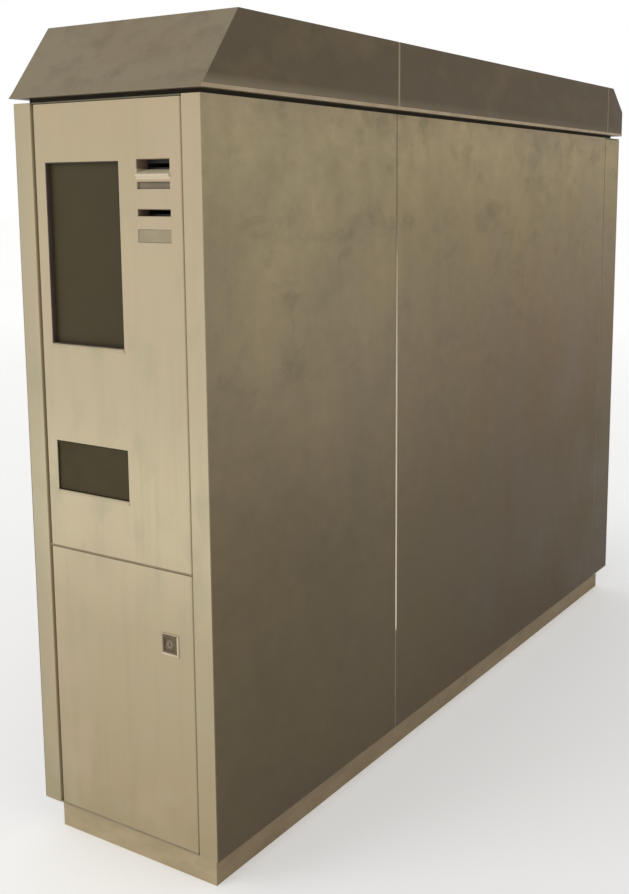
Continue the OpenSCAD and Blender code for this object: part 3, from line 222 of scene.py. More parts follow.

# the same lacquered sheet on the roof: painted light keeps it paler on the slopes, painted shade makes it
# browner and darker on the upright sides, a painted highlight pales its lower lip near the front, and lacquer
# is rubbed through along the joints
bareJoint = {"half": 0.0028, "faded": 0.0042, "strengths": (0.85, 0.4)}
roofSteel = {
    "patterns": {"cloud": {"grain": (240, 240, 160), "detail": 5.0, "rough": 0.6},
                 "speck": {"grain": (80, 80, 55), "detail": 4.0, "rough": 0.65, "shift": (3, 5, 1)},
                 "brushing": {"grain": (60, 1.6, 1.6), "detail": 2.0}},
    "base": "#90836a",
    # painted shade: the upright sides darker and browner than the slopes, more so towards the rear
    "layers": [([("sideways", 0.3, 0.8, 0.0, 1.0)], "#5f523d", "MIX"),
               ([("sideways", 0.3, 0.8, 0.0, 1.0), ("y", -0.9, 0.5, 0.0, 1.0)], "#594a34", "MIX"),
               ([("cloud", 0.5, 0.72, 0.0, 0.4)], "#87775a", "MIX"),
               ([("speck", 0.46, 0.75, 0.0, 0.42)], "#574b37", "MIX"),
               # painted highlight on the lower lip, strongest near the front
               ([("z", roofLow + 0.03, roofLow + 0.006, 0.0, 1.0), ("y", 0.2, -1.0, 0.2, 0.75)],
                "#8d8068", "MIX"),
               *[([("y", joint - bareJoint["faded"], joint - bareJoint["half"], 0.0, 1.0),
                   ("y", joint + bareJoint["faded"], joint + bareJoint["half"], 0.0, strength)],
                  "#b29c7e", "MIX") for joint, strength in zip(roofJoints, bareJoint["strengths"])],
               ([("edge", 0.995, 0.85, 0.0, 0.4)], "#a0927a", "MIX")],
    "edgeRadius": 0.003,
    "roughness": ("cloud", 0.3, 0.7, 0.4, 0.6), "metallic": 0.15, "gloss": 0.25,
    "bump": ("brushing", 0.08, 0.0003, 0.0015),
}

# bare aluminium strip in the side joints: rubbed bright below, lacquered over near the roof
jointStrip = {
    "patterns": {"rub": {"grain": (3, 3, 90), "rough": 0.6}},
    "ramp": [(0.0, "#94876b"), (0.16, "#a2947a"), (0.18, "#e6d9bd"), (0.6, "#dfd1b3"), (0.78, "#b3a588"),
             (0.84, "#6b604c"), (1.0, "#625946")],
    "layers": [([], ("rub", 0.3, 0.7, 0.85, 1.1), "MULTIPLY")],
    "roughness": ("rub", 0.3, 0.7, 0.4, 0.55),
    "bump": ("rub", 0.05, 0.0003, 0.0015),
}

# powder coat on the folded plinth: splashed and dusty, with painted shade darkening the sides
plinthPaint = {
    "patterns": {"splash": {"grain": (90, 90, 40), "detail": 4.0, "rough": 0.6},
                 "peel": {"grain": (3, 3, 3), "detail": 2.0}},
    "base": "#b3a17e",
    # painted shade on the side faces
    "layers": [([("sideways", 0.3, 0.8, 0.0, 1.0)], "#8a7757", "MIX"),
               ([], ("splash", 0.3, 0.7, 1.08, 0.86), "MULTIPLY"),
               ([("edge", 0.995, 0.85, 0.0, 0.5)], "#c9ba97", "MIX")],
    "edgeRadius": 0.003,
    "roughness": ("splash", 0.3, 0.7, 0.55, 0.7),
    "bump": ("peel", 0.06, 0.0004, 0.0015),
}

# the door's sand coat on the note slot's frame, pale on the lip that the notes slide over: partly wear,
# partly a painted highlight
noteLipPaint = {
    "patterns": {"cloud": {"grain": (60, 60, 60), "detail": 4.0, "rough": 0.6},
                 "peel": {"grain": (2, 2, 2), "detail": 2.0}},
    "base": "#bba986",
    "layers": [([("cloud", 0.35, 0.7, 0.0, 1.0)], "#ae9d7b", "MIX"),
               # the pale lip below the slot, worn and painted as a highlight
               ([("z", noteLip + 0.004, noteLip - 0.002, 0.0, 1.0)], "#d3c5a8", "MIX")],
    "roughness": ("cloud", 0.3, 0.7, 0.43, 0.57),
    "bump": ("peel", 0.1, 0.0003, 0.0008),
}

# smoked glass over a dark screen: even brown-black, soft gloss, a film of dust
smokedGlass = {
    "patterns": {"dust": {"grain": (90, 90, 130), "detail": 4.0, "rough": 0.6},
                 "smear": {"grain": (160, 160, 60), "shift": (6, 1, 2)}},
    "base": "#48412d",
    "layers": [([("dust", 0.4, 0.75, 0.0, 0.35)], "#4f4731", "MIX")],
    "roughness": ("smear", 0.3, 0.7, 0.34, 0.5), "gloss": 0.1,
}


plainSpread = {"tone": 30, "roughness": 0.07}


def makePlain(name, light, dark, grain, roughness, metallic=0.0, edge=None, gloss=0.5):
    # a finish with one cloudy change of tone, many grains wide, and one fine grain in millimetres
    worn = [([("edge", 0.995, 0.85, 0.0, 0.6)], edge, "MIX")] if edge else []
    return makeFinish(name, {
        "patterns": {"tone": {"grain": [g * plainSpread["tone"] for g in grain], "detail": 4.0, "rough": 0.6},
                     "grain": {"grain": grain, "detail": 2.0}},
        "base": light,
        "layers": [([("tone", 0.35, 0.7, 0.0, 1.0)], dark, "MIX"), *worn],
        "edgeRadius": 0.002,
        "roughness": ("tone", 0.3, 0.7, roughness - plainSpread["roughness"],
                      roughness + plainSpread["roughness"]),
        "metallic": metallic, "gloss": gloss,
        "bump": ("grain", 0.1, 0.0003, 0.0008),
    })


print("making materials")
finishes = {
    "front_paint": makeFinish("sand powder coat", frontPaint),
    "side_steel": makeFinish("bronze lacquered steel", sideSteel),
    "roof_steel": makeFinish("weathered roof sheet", roofSteel),
    "joint_strip": makeFinish("rubbed aluminium strip", jointStrip),
    "plinth_paint": makeFinish("plinth powder coat", plinthPaint),
    "note_lip": makeFinish("sand paint with painted highlight on the note lip", noteLipPaint),
    "window_glass": makeFinish("smoked glass", smokedGlass),
    # grey primer on the frame tubes, flat and dusty
    "frame_steel": makePlain("grey primer", "#8f8f8a", "#7c7c76", (2, 2, 2), 0.6),
    # brown-black paint in the shade under the roof, without a shine
    "neck_dark": makePlain("matt black paint", "#3a3225", "#453c2d", (3, 3, 3), 0.8),
    # zinc plate with a passivated bloom drawn out along the strip
    "zinc_steel": makePlain("zinc plate", "#b7b6ad", "#9b9a90", (2, 12, 2), 0.35, 0.9),
    # moulded ABS, spark-eroded to an even dull black
    "dark_plastic": makePlain("black ABS", "#34332f", "#292825", (1, 1, 1), 0.5),
    # drawn and anodised, with long pale lines
    "aluminium_case": makePlain("anodised aluminium", "#b9bab8", "#a3a4a2", (1, 20, 1), 0.38, 0.9),
    # cast zinc, browned by hands
    "lock_metal": makePlain("dark cast zinc", "#74654c", "#5e503a", (1, 1, 1), 0.42, 0.5),
    # stoved enamel, chipped to grey on its edges
    "cash_paint": makePlain("cash box enamel", "#6d7068", "#5d6059", (2, 2, 2), 0.4, edge="#8f918a"),
    # the screen's black face
    "display_face": makePlain("display panel", "#26241f", "#1d1b17", (2, 2, 2), 0.35),
    # tinted acrylic flap, scratched to a low gloss
    "smoked_flap": makePlain("smoked acrylic", "#4a412b", "#443b26", (3, 3, 3), 0.5, gloss=0.12),
    # moulded rubber, brown-black and dry
    "gasket_rubber": makePlain("black rubber", "#232120", "#2d2b28", (1, 1, 1), 0.75),
    # thermal paper with its fibres along the web
    "ticket_paper": makePlain("ticket paper", "#eeeade", "#dfd9c8", (0.5, 8, 0.5), 0.85),
    # extruded rubber in the door gaps, near the door's own sand
    "seal_beige": makePlain("beige seal rubber", "#9c8e70", "#8f8164", (2, 2, 30), 0.7),
    # enamelled flap in the card slot
    "shutter_brown": makePlain("brown shutter enamel", "#7b6d57", "#6e604b", (1, 1, 1), 0.5),
    # the push plate, a shade greyer than the door
    "plate_buff": makePlain("buff enamel", "#a5977b", "#988a6e", (2, 2, 2), 0.5),
    # painted shade lining the window's collar, with a red cast
    "shade_brown": makePlain("red-brown shade lining", "#4f4036", "#45382f", (1, 1, 1), 0.75),
    # lacquer rubbed thin along the roof's folds
    "roof_seam": makePlain("rubbed roof lacquer", "#b09b7c", "#9f8b6e", (2, 2, 2), 0.5),
    # lock cores, worn by keys to a paler brown
    "worn_core": makePlain("worn brown zinc", "#8d8067", "#776b55", (0.6, 0.6, 0.6), 0.45, 0.4),
    # moulded liners inside the slots
    "slot_brown": makePlain("brown slot liner", "#86735f", "#78654f", (1, 1, 1), 0.6),
    # sand paint, pale for a painted highlight
    "highlight_sand": makePlain("sand paint with painted highlight", "#d3c5a8", "#c4b596", (2, 2, 2), 0.5),
    # painted shade: the side's lacquer darkened on the top plate's edge, in the shade under the roof
    "shaded_bronze": makePlain("dull bronze lacquer", "#6e6750", "#5f5944", (2, 2, 2), 0.7),
    # battery links, browned by air
    "copper": makePlain("tarnished copper", "#a8653f", "#8a5234", (1, 1, 1), 0.4, 1.0),
    # moulded breaker bodies, satin and pale
    "breaker_grey": makePlain("light grey polyamide", "#c9c9c4", "#b8b8b2", (1, 1, 1), 0.5),
}

# nodes whose finish is not the one their slot names
ownFinish = {
    "card_shutter": "shutter_brown",
    "push_plate": "plate_buff",
    "note_slot_bezel": "note_lip",
    "top_plate": "shaded_bronze",
    "base_plate": "seal_beige",
    "roof_drip_edges": "roof_seam",
    "roof_joint_bands": "roof_seam",
    "front_lock_cylinder": "worn_core",
    "rear_lock_cylinder": "worn_core",
}
for part in frame["record"]["subparts"]:
    slots = nodes[part["node"]].data.materials
    slots.clear()
    slots.append(finishes[ownFinish.get(part["node"], part["material_slot"])])


def edgesOf(made):
    # the edges of what was just made, each once
    return list(dict.fromkeys(e for v in made["verts"] for e in v.link_edges))


def addBox(form, low, high, rounding=0.0):
    middle = (Vector(low) + Vector(high)) / 2
    place = Matrix.LocRotScale(middle, None, Vector(high) - Vector(low))
    made = bmesh.ops.create_cube(form, size=1, matrix=place)
    if rounding:
        bmesh.ops.bevel(form, geom=edgesOf(made), offset=rounding, segments=2, profile=0.5,
                        affect="EDGES", material=-1)


def addRod(form, start, end, radius, segments=32):
    along = Vector(end) - Vector(start)
    turn = along.to_track_quat("Z", "Y").to_matrix().to_4x4()
    place = Matrix.Translation((Vector(start) + Vector(end)) / 2) @ turn
    bmesh.ops.create_cone(form, cap_ends=True, segments=segments, radius1=radius, radius2=radius,
                          depth=along.length, matrix=place)


def addFrame(form, low, high, wall, rounding=0.0):
    # four bars around an opening that faces along Y; low and high are its outer corners
    (x0, y0, z0), (x1, y1, z1) = low, high
    addBox(form, (x0, y0, z0), (x1, y1, z0 + wall), rounding)
    addBox(form, (x0, y0, z1 - wall), (x1, y1, z1), rounding)
    addBox(form, (x0, y0, z0 + wall), (x0 + wall, y1, z1 - wall), rounding)
    addBox(form, (x1 - wall, y0, z0 + wall), (x1, y1, z1 - wall), rounding)


sharpFold = radians(35)  # folds past this angle stay crisp


def makePiece(name, form, finish, body):
    mesh = bpy.data.meshes.new(name)
    bmesh.ops.recalc_face_normals(form, faces=form.faces)
    for face in form.faces:
        face.smooth = True
    form.to_mesh(mesh)
    form.free()
    mesh.set_sharp_from_angle(angle=sharpFold)
    mesh.materials.append(finishes[finish])
    piece = bpy.data.objects.new(name, mesh)
    bpy.context.scene.collection.objects.link(piece)
    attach(piece, body)


print("adding seals and trims")
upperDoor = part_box("upper_door_skin")
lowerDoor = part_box("lower_door_skin")
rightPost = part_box("corner_post_right")
cabinetFront = rightPost[0].y
sheet = 0.002  # the folded panels' thickness


def softenFolds():
    # folded sheet has small radii at its corners
    s = {"width": 0.0008, "segments": 2, "angle": 40,
         "nodes": ("corner_post_left", "corner_post_right", "plinth", "side_panel_front_left",
                   "side_panel_front_right", "side_panel_rear_left", "side_panel_rear_right")}
    for name in s["nodes"]:
        rounding = nodes[name].modifiers.new("soft edges", "BEVEL")
        rounding.width = s["width"]
        rounding.segments = s["segments"]
        rounding.limit_method = "ANGLE"
        rounding.angle_limit = radians(s["angle"])
        rounding.harden_normals = True


def doorSeals():
    # beige edge seals in the upright gaps beside the doors; they stay on the posts, and the one
    # by the hinges is narrow, so that the open doors swing past it
    s = {"behind": {-1: 0.0006, 1: 0.0022}, "free": {-1: 0.0023, 1: 0.0003},
         "thick": {-1: 0.017, 1: 0.0028}, "rounding": 0.0008}
    form = bmesh.new()
    postEdge = rightPost[0].x
    for side, behind in s["behind"].items():
        front = cabinetFront + behind
        xs = sorted((side * (upperDoor[1].x + s["free"][side]), side * postEdge))
        addBox(form, (xs[0], front, lowerDoor[0].z), (xs[1], front + s["thick"][side], upperDoor[1].z),
               s["rounding"])
    makePiece("door_edge_seals", form, "seal_beige", "cabinet")


def splitSeal():
    # a nose on the plate between the two doors
    s = {"behind": 0.0018, "free": 0.0006, "rounding": 0.0006}
    form = bmesh.new()
    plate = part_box("mid_rail")
    addBox(form, (upperDoor[0].x, cabinetFront + s["behind"], lowerDoor[1].z + s["free"]),
           (upperDoor[1].x, plate[0].y, upperDoor[0].z - s["free"]), s["rounding"])
    makePiece("door_split_seal", form, "seal_beige", "cabinet")


def jointCaps():
    # rubbed aluminium caps over the upright joints of the two sides; they stop short of roof and plinth
    s = {"wide": 0.007, "proud": 0.0008, "from": 0.17, "to": 0.82, "rounding": 0.0003}
    form = bmesh.new()
    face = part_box("side_panel_front_right")[1].x
    joint = (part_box("side_panel_front_right")[1].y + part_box("side_panel_rear_right")[0].y) / 2
    z0 = bodyLow + (bodyHigh - bodyLow) * s["from"]
    z1 = bodyLow + (bodyHigh - bodyLow) * s["to"]
    for side in (-1, 1):
        xs = sorted((side * face, side * (face + s["proud"])))
        addBox(form, (xs[0], joint - s["wide"] / 2, z0), (xs[1], joint + s["wide"] / 2, z1), s["rounding"])
    makePiece("side_joint_caps", form, "joint_strip", "cabinet")


def windowShadeLining():
    # painted shade: a dark lining on the window's collar, reaching the glass, stands in for the collar's
    # shade
    s = {"behind": 0.0005, "wall": 0.0022, "hold": 0.012, "rounding": 0.0006}
    form = bmesh.new()
    low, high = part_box("window_glass")
    hold = Vector((s["hold"], 0, s["hold"]))
    low, high = low + hold, high - hold
    addFrame(form, (low.x, cabinetFront + s["behind"], low.z), (high.x, low.y, high.z), s["wall"],
             s["rounding"])
    makePiece("window_shade_lining", form, "shade_brown", "upper_door")


def slotLiners():
    # brown liners on the inner walls of the note slot, above its lip, and of the pass slot
    s = {"behind": 0.0008, "depth": 0.0318, "wall": 0.0008, "mouth": 0.002, "top": 0.003,
         "lined": {"note_slot_bezel": lipShare, "pass_slot_bezel": 0.0}}
    form = bmesh.new()
    x0, x1 = (corner.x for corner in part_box("push_plate"))
    y0, y1 = cabinetFront + s["behind"], cabinetFront + s["depth"]
    for name, lined in s["lined"].items():
        low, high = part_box(name)
        z0 = low.z + (high.z - low.z) * lined + s["mouth"]
        z1 = high.z - s["top"]
        addBox(form, (x0, y0, z0), (x0 + s["wall"], y1, z1))
        addBox(form, (x1 - s["wall"], y0, z0), (x1, y1, z1))
        addBox(form, (x0 + s["wall"], y0, z1 - s["wall"]), (x1 - s["wall"], y1, z1))
    makePiece("slot_liners", form, "slot_brown", "upper_door")


def lockSurrounds():
    # bevelled frame round the front lock's plate, with painted highlights on the bars below and to the right;
    # the upper and left bars keep the door's paint
    s = {"wide": 0.006, "slim": 0.003, "inside": 0.0002, "rise": 0.0018, "highlitRounding": 0.00108,
         "paintedRounding": 0.0009, "keyWide": 0.0016, "keyTall": 0.009, "keyDeep": 0.0006}
    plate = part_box("front_lock_escutcheon")
    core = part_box("front_lock_cylinder")
    x0, x1 = plate[0].x - s["inside"], plate[1].x + s["inside"]
    z0, z1 = plate[0].z - s["inside"], plate[1].z + s["inside"]
    back = cabinetFront
    front = back - s["rise"]
    # painted highlight: the lower and right bars in pale sand
    highlit = bmesh.new()
    addBox(highlit, (x0 - s["slim"], front, z0 - s["wide"]), (x1 + s["wide"], back, z0), s["highlitRounding"])
    addBox(highlit, (x1, front, z0), (x1 + s["wide"], back, z1), s["highlitRounding"])
    makePiece("lock_surround_highlit", highlit, "highlight_sand", "lower_door")
    painted = bmesh.new()
    addBox(painted, (x0 - s["slim"], front, z1), (x1 + s["wide"], back, z1 + s["slim"]), s["paintedRounding"])
    addBox(painted, (x0 - s["slim"], front, z0), (x0, back, z1), s["paintedRounding"])
    makePiece("lock_surround_painted", painted, "front_paint", "lower_door")
    key = bmesh.new()
    middle = (core[0].x + core[1].x) / 2
    centre = (plate[0].z + plate[1].z) / 2
    addBox(key, (middle - s["keyWide"] / 2, core[0].y - s["keyDeep"], centre - s["keyTall"] / 2),
           (middle + s["keyWide"] / 2, core[0].y, centre + s["keyTall"] / 2))
    makePiece("key_slot", key, "neck_dark", "front_lock")


def doorStiffeners():
    # pressed hat sections on the inner face of the lower door
    s = {"lefts": (-0.11, 0.03), "wide": 0.03, "deep": 0.010, "margin": 0.05, "rounding": 0.002}
    form = bmesh.new()
    inner = cabinetFront + sheet
    for x in s["lefts"]:
        addBox(form, (x, inner, lowerDoor[0].z + s["margin"]),
               (x + s["wide"], inner + s["deep"], lowerDoor[1].z - s["margin"]), s["rounding"])
    makePiece("lower_door_stiffeners", form, "front_paint", "lower_door")


def batteryTops():
    # lids, terminals and copper links on the four batteries; across and along are shares of one battery
    s = {"gap": 0.02, "lid": 0.006, "inset": 0.008, "rounding": 0.002, "post": 0.009, "postHigh": 0.014,
         "postsAcross": (0.22, 0.78), "postAlong": 0.14, "link": 0.02, "linkHigh": 0.003, "linkFrom": 0.1,
         "linkTo": 1.22, "linkRounding": 0.001}
    low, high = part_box("batteries")
    wide = (high.x - low.x - s["gap"]) / 2
    long = (high.y - low.y - s["gap"]) / 2
    lids, posts, links = bmesh.new(), bmesh.new(), bmesh.new()
    top = high.z + s["lid"] + s["postHigh"]
    for column in (0, 1):
        x0 = low.x + column * (wide + s["gap"])
        for row in (0, 1):
            y0 = low.y + row * (long + s["gap"])
            addBox(lids, (x0 + s["inset"], y0 + s["inset"], high.z),
                   (x0 + wide - s["inset"], y0 + long - s["inset"], high.z + s["lid"]), s["rounding"])
            for share in s["postsAcross"]:
                foot = Vector((x0 + wide * share, y0 + long * s["postAlong"], high.z + s["lid"]))
                addRod(posts, foot, foot + Vector((0, 0, s["postHigh"])), s["post"])
        x = x0 + wide * s["postsAcross"][0]
        addBox(links, (x - s["link"] / 2, low.y + long * s["linkFrom"], top),
               (x + s["link"] / 2, low.y + long * s["linkTo"] + s["gap"], top + s["linkHigh"]),
               s["linkRounding"])
    makePiece("battery_lids", lids, "dark_plastic", "cabinet")
    makePiece("battery_posts", posts, "zinc_steel", "cabinet")
    makePiece("battery_links", links, "copper", "cabinet")


def breakerRows():
    # two rows of breakers on rails, with their levers, on the distribution board
    s = {"rows": (0.3, 0.68), "count": 7, "wide": 0.0176, "pitch": 0.018, "high": 0.082, "deep": 0.044,
         "lever": 0.006, "leverHigh": 0.016, "leverAcross": (0.3, 0.7), "rail": 0.0065, "railHigh": 0.035,
         "margin": 0.01, "rounding": 0.001, "leverRounding": 0.0012}
    low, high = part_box("distribution_board")
    modules, levers, rails = bmesh.new(), bmesh.new(), bmesh.new()
    start = (low.x + high.x - s["count"] * s["pitch"]) / 2
    y0 = high.y + s["rail"]
    y1 = y0 + s["deep"]
    for share in s["rows"]:
        z = low.z + (high.z - low.z) * share
        addBox(rails, (low.x + s["margin"], high.y, z - s["railHigh"] / 2),
               (high.x - s["margin"], y0, z + s["railHigh"] / 2), s["rounding"])
        for index in range(s["count"]):
            x = start + index * s["pitch"]
            left, right = (x + s["wide"] * across for across in s["leverAcross"])
            addBox(modules, (x, y0, z - s["high"] / 2), (x + s["wide"], y1, z + s["high"] / 2), s["rounding"])
            addBox(levers, (left, y1, z - s["leverHigh"] / 2),
                   (right, y1 + s["lever"], z + s["leverHigh"] / 2), s["leverRounding"])
    makePiece("breakers", modules, "breaker_grey", "cabinet")
    makePiece("breaker_levers", levers, "dark_plastic", "cabinet")
    makePiece("breaker_rails", rails, "zinc_steel", "cabinet")


def controllerParts():
    # cooling ribs and a row of sockets on the controller, a terminal strip on the supply
    s = {"ribs": 11, "rib": 0.003, "ribHigh": 0.008, "edge": 0.012, "sockets": 5, "socket": 0.014, "up": 0.02,
         "out": 0.006, "strip": (0.012, 0.03), "ribRounding": 0.0008, "rounding": 0.001}
    low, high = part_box("controller")
    inner = high.x - low.x - 2 * s["edge"]
    ribs, sockets = bmesh.new(), bmesh.new()
    for index in range(s["ribs"]):
        x = low.x + s["edge"] + (inner - s["rib"]) * index / (s["ribs"] - 1)
        addBox(ribs, (x, low.y + s["edge"], high.z),
               (x + s["rib"], high.y - s["edge"], high.z + s["ribHigh"]), s["ribRounding"])
    z = low.z + s["up"]
    for index in range(s["sockets"]):
        x = low.x + s["edge"] + (inner - s["socket"]) * index / (s["sockets"] - 1)
        addBox(sockets, (x, low.y - s["out"], z), (x + s["socket"], low.y, z + s["socket"]), s["rounding"])
    low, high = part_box("power_supply")
    z0, z1 = (low.z + rise for rise in s["strip"])
    addBox(sockets, (low.x + s["edge"], low.y - s["out"], z0), (high.x - s["edge"], low.y, z1), s["rounding"])
    makePiece("controller_ribs", ribs, "aluminium_case", "cabinet")
    makePiece("socket_rows", sockets, "dark_plastic", "cabinet")


def ticketWeb():
    # the web leaves the roll at a tangent and runs to the nip on top of the platen
    s = {"thick": 0.00012, "rise": 0.00008}
    roll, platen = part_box("ticket_roll"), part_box("platen_roller")
    rollY, rollZ = (roll[0].y + roll[1].y) / 2, (roll[0].z + roll[1].z) / 2
    rollR = (roll[1].z - roll[0].z) / 2
    nipY, nipZ = (platen[0].y + platen[1].y) / 2, platen[1].z + s["rise"]
    reach = Vector((rollY - nipY, rollZ - nipZ))
    slope = reach.angle(Vector((1, 0))) - asin(rollR / reach.length)
    length = sqrt(reach.length_squared - rollR ** 2)
    form = bmesh.new()
    place = (Matrix.Translation((0, nipY, nipZ)) @ Matrix.Rotation(slope, 4, "X")
             @ Matrix.Translation(((roll[0].x + roll[1].x) / 2, length / 2, -s["thick"] / 2))
             @ Matrix.Diagonal((roll[1].x - roll[0].x, length, s["thick"], 1)))
    bmesh.ops.create_cube(form, size=1, matrix=place)
    makePiece("ticket_web", form, "ticket_paper", "cabinet")


def platenGear():
    # the drive gear on the platen's end
    s = {"radius": 0.017, "wide": 0.006, "teeth": 24, "tooth": 0.0026, "toothWide": 0.002, "gap": 0.001}
    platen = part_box("platen_roller")
    y, z = (platen[0].y + platen[1].y) / 2, (platen[0].z + platen[1].z) / 2
    x1 = platen[0].x - s["gap"]
    x0 = x1 - s["wide"]
    root = s["radius"] - s["tooth"]
    form = bmesh.new()
    addRod(form, (x0, y, z), (platen[0].x, y, z), root)
    for index in range(s["teeth"]):
        turn = Matrix.Translation((0, y, z)) @ Matrix.Rotation(2 * pi * index / s["teeth"], 4, "X")
        place = turn @ Matrix.Translation(((x0 + x1) / 2, 0, root))
        tooth = Matrix.Diagonal((s["wide"], s["toothWide"], s["tooth"] * 2, 1))
        bmesh.ops.create_cube(form, size=1, matrix=place @ tooth)
    makePiece("platen_gear", form, "breaker_grey", "platen_roller")


def moduleBacks():
    # sockets on the backs of the note validator and the card reader, ribs on the back of the display
    s = {"socket": (0.03, 0.005, 0.01), "across": (0.3, 0.7), "margin": 0.036, "ribs": 7, "rib": 0.003,
         "out": 0.003, "firstRib": 0.35, "ribStep": 0.05, "rounding": 0.0008}
    form = bmesh.new()
    wide, deep, tall = s["socket"]
    for name in ("note_validator", "card_reader"):
        low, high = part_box(name)
        z = (low.z + high.z) / 2
        for share in s["across"]:
            x = low.x + (high.x - low.x) * share
            addBox(form, (x - wide / 2, high.y, z - tall / 2), (x + wide / 2, high.y + deep, z + tall / 2),
                   s["rounding"])
    low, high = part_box("display_housing")
    for index in range(s["ribs"]):
        z = low.z + (high.z - low.z) * (s["firstRib"] + s["ribStep"] * index)
        addBox(form, (low.x + s["margin"], high.y, z),
               (high.x - s["margin"], high.y + s["out"], z + s["rib"]), s["rounding"])
    makePiece("module_backs", form, "dark_plastic", "upper_door")


def fanGuard():
    # wire rings and bars over the mouth of the fan
    s = {"rings": (0.2, 0.5, 0.8, 1.0), "wire": 0.0012, "wireSides": 8, "ringSteps": 48,
         "out": 0.0015, "bars": 4, "reach": 0.058}
    low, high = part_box("fan_housing")
    centre = Vector(((low.x + high.x) / 2, low.y - s["out"], (low.z + high.z) / 2))
    form = bmesh.new()
    for share in s["rings"]:
        start = Matrix.Translation(centre + Vector((s["reach"] * share, 0, 0)))
        made = bmesh.ops.create_circle(form, cap_ends=False, segments=s["wireSides"], radius=s["wire"],
                                       matrix=start)
        bmesh.ops.spin(form, geom=edgesOf(made), cent=centre, axis=(0, 1, 0), angle=2 * pi,
                       steps=s["ringSteps"], use_merge=True)
    # a spin adds its faces in an order that changes from run to run, so they are numbered by place
    for rank, face in enumerate(sorted(form.faces, key=lambda face: tuple(face.calc_center_median()))):
        face.index = rank
    form.faces.sort()
    behind = Vector((0, s["wire"], 0))
    for index in range(s["bars"]):
        turn = pi * index / s["bars"]
        arm = Vector((cos(turn), 0, sin(turn))) * s["reach"]
        addRod(form, centre - arm + behind, centre + arm + behind, s["wire"], segments=s["wireSides"])
    makePiece("fan_guard", form, "zinc_steel", "cabinet")


def cashBoxLock():
    # a round lock on the cash box, above its handle
    s = {"radius": 0.009, "out": 0.003, "handle": 0.022, "down": 0.045}
    low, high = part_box("cash_box")
    face = low.y + s["handle"]
    x = (low.x + high.x) / 2
    z = high.z - s["down"]
    form = bmesh.new()
    addRod(form, (x, face - s["out"], z), (x, face, z), s["radius"])
    makePiece("cash_box_lock", form, "zinc_steel", "cash_box")


def ventFilters():
    # filter pads in frames behind the rear door's vents
    s = {"pad": 0.004, "border": 0.012, "frame": 0.006, "wide": 0.09, "tall": 0.117, "fromFoot": 0.1988,
         "fromTop": 0.3288, "escutcheon": 0.0025, "rounding": 0.001}
    pads, frames = bmesh.new(), bmesh.new()
    low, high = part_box("rear_door")
    back = high.y - s["escutcheon"] - sheet
    wide, border = s["wide"], s["border"]
    for z in (low.z + s["fromFoot"], high.z - s["fromTop"]):
        addBox(pads, (-wide, back - s["pad"], z), (wide, back, z + s["tall"]))
        addFrame(frames, (-wide - border, back - s["frame"], z - border),
                 (wide + border, back, z + s["tall"] + border), border, s["rounding"])
    makePiece("vent_filters", pads, "gasket_rubber", "rear_door")
    makePiece("vent_filter_frames", frames, "zinc_steel", "rear_door")


softenFolds()
doorSeals()
splitSeal()
jointCaps()
windowShadeLining()
slotLiners()
lockSurrounds()
doorStiffeners()

print("fitting out the inside")
batteryTops()
breakerRows()
controllerParts()
ticketWeb()
platenGear()
moduleBacks()
fanGuard()
cashBoxLock()
ventFilters()


def placeCamera():
    # about eye height, well to the right of the front; turns are in degrees
    s = {"place": (1.6713, -2.8274, 1.4456), "yaw": 32.377, "pitch": -8.823, "roll": -0.144,
         "lens": 46.07, "shiftX": -0.0476, "shiftY": -0.0839}
    data = bpy.data.cameras.new("camera")
    data.lens = s["lens"]
    data.shift_x = s["shiftX"]
    data.shift_y = s["shiftY"]
    camera = bpy.data.objects.new("camera", data)
    bpy.context.scene.collection.objects.link(camera)
    turn = (Matrix.Rotation(radians(s["yaw"]), 4, "Z") @ Matrix.Rotation(radians(90 + s["pitch"]), 4, "X")
            @ Matrix.Rotation(radians(s["roll"]), 4, "Z"))
    camera.matrix_world = Matrix.Translation(s["place"]) @ turn
    bpy.context.scene.camera = camera


def makeKeyLight():
    # one large soft box, high to the left of the front
    s = {"place": (-2.6, -5.2, 3.4), "target": (0, -0.6, 0.9), "size": (3.0, 3.0), "power": 62}
    data = bpy.data.lights.new("key", "AREA")
    data.shape = "RECTANGLE"
    data.size, data.size_y = s["size"]
    data.energy = s["power"]
    lamp = bpy.data.objects.new("key", data)
    bpy.context.scene.collection.objects.link(lamp)
    aim = Vector(s["target"]) - Vector(s["place"])
    lamp.matrix_world = Matrix.Translation(s["place"]) @ aim.to_track_quat("-Z", "Y").to_matrix().to_4x4()


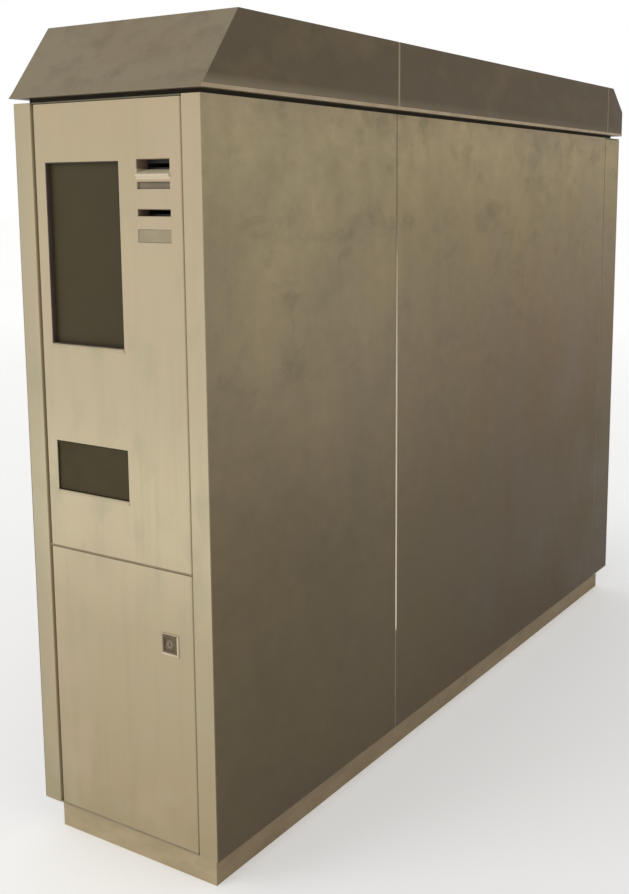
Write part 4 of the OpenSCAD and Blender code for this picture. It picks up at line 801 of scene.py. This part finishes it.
def makeWorld():
    # an even pale surround: white where the camera sees it, softer where it lights the object
    s = {"colour": "#ffffff", "seen": 1.0, "lighting": 0.6}
    world = bpy.data.worlds.new("studio")
    bpy.context.scene.world = world
    world.use_nodes = True
    tree = world.node_tree
    tree.nodes.clear()
    seen = addNode(tree, "LightPath").outputs["Is Camera Ray"]
    level = addNode(tree, "MapRange", {"To Min": s["lighting"], "To Max": s["seen"], "clamp": True},
                    {"Value": seen}).outputs[0]
    light = addNode(tree, "Background", {"Color": linear(s["colour"])}, {"Strength": level})
    addNode(tree, "OutputWorld", None, {"Surface": light.outputs[0]})


def makeFloor():
    # a matt pale floor with a faint glow that grows away from the object, so that no horizon shows
    s = {"patterns": {"tone": {"grain": (900, 900, 900), "detail": 2.0}}, "base": "#fbfbfa",
         "layers": [([("tone", 0.0, 1.0, 0.0, 1.0)], "#f6f6f4", "MIX")],
         "roughness": 0.9, "glow": "#ffffff", "glowing": ("far", 1.5, 9.0, 0.28, 0.42), "size": 60}
    material, tree, shader = newMaterial("pale studio floor")
    sources = {name: addSource(tree, name, s) for name in ("tone", "x", "y")}
    away = [addNode(tree, "Math", {"operation": "ABSOLUTE"}, {0: sources[axis]}).outputs[0] for axis in "xy"]
    sources["far"] = addNode(tree, "Math", {"operation": "MAXIMUM"}, {0: away[0], 1: away[1]}).outputs[0]
    tree.links.new(addLayers(tree, sources, s["base"], s["layers"]), shader.inputs["Base Color"])
    tree.links.new(addMask(tree, sources, [s["glowing"]]), shader.inputs["Emission Strength"])
    shader.inputs["Roughness"].default_value = s["roughness"]
    shader.inputs["Emission Color"].default_value = linear(s["glow"])
    mesh = bpy.data.meshes.new("floor")
    grid = bmesh.new()
    bmesh.ops.create_grid(grid, x_segments=2, y_segments=2, size=s["size"])
    grid.to_mesh(mesh)
    grid.free()
    floor = bpy.data.objects.new("floor", mesh)
    floor.data.materials.append(material)
    bpy.context.scene.collection.objects.link(floor)


print("placing camera and light")
placeCamera()
makeKeyLight()
makeWorld()
makeFloor()
bpy.context.scene.view_settings.view_transform = "Standard"
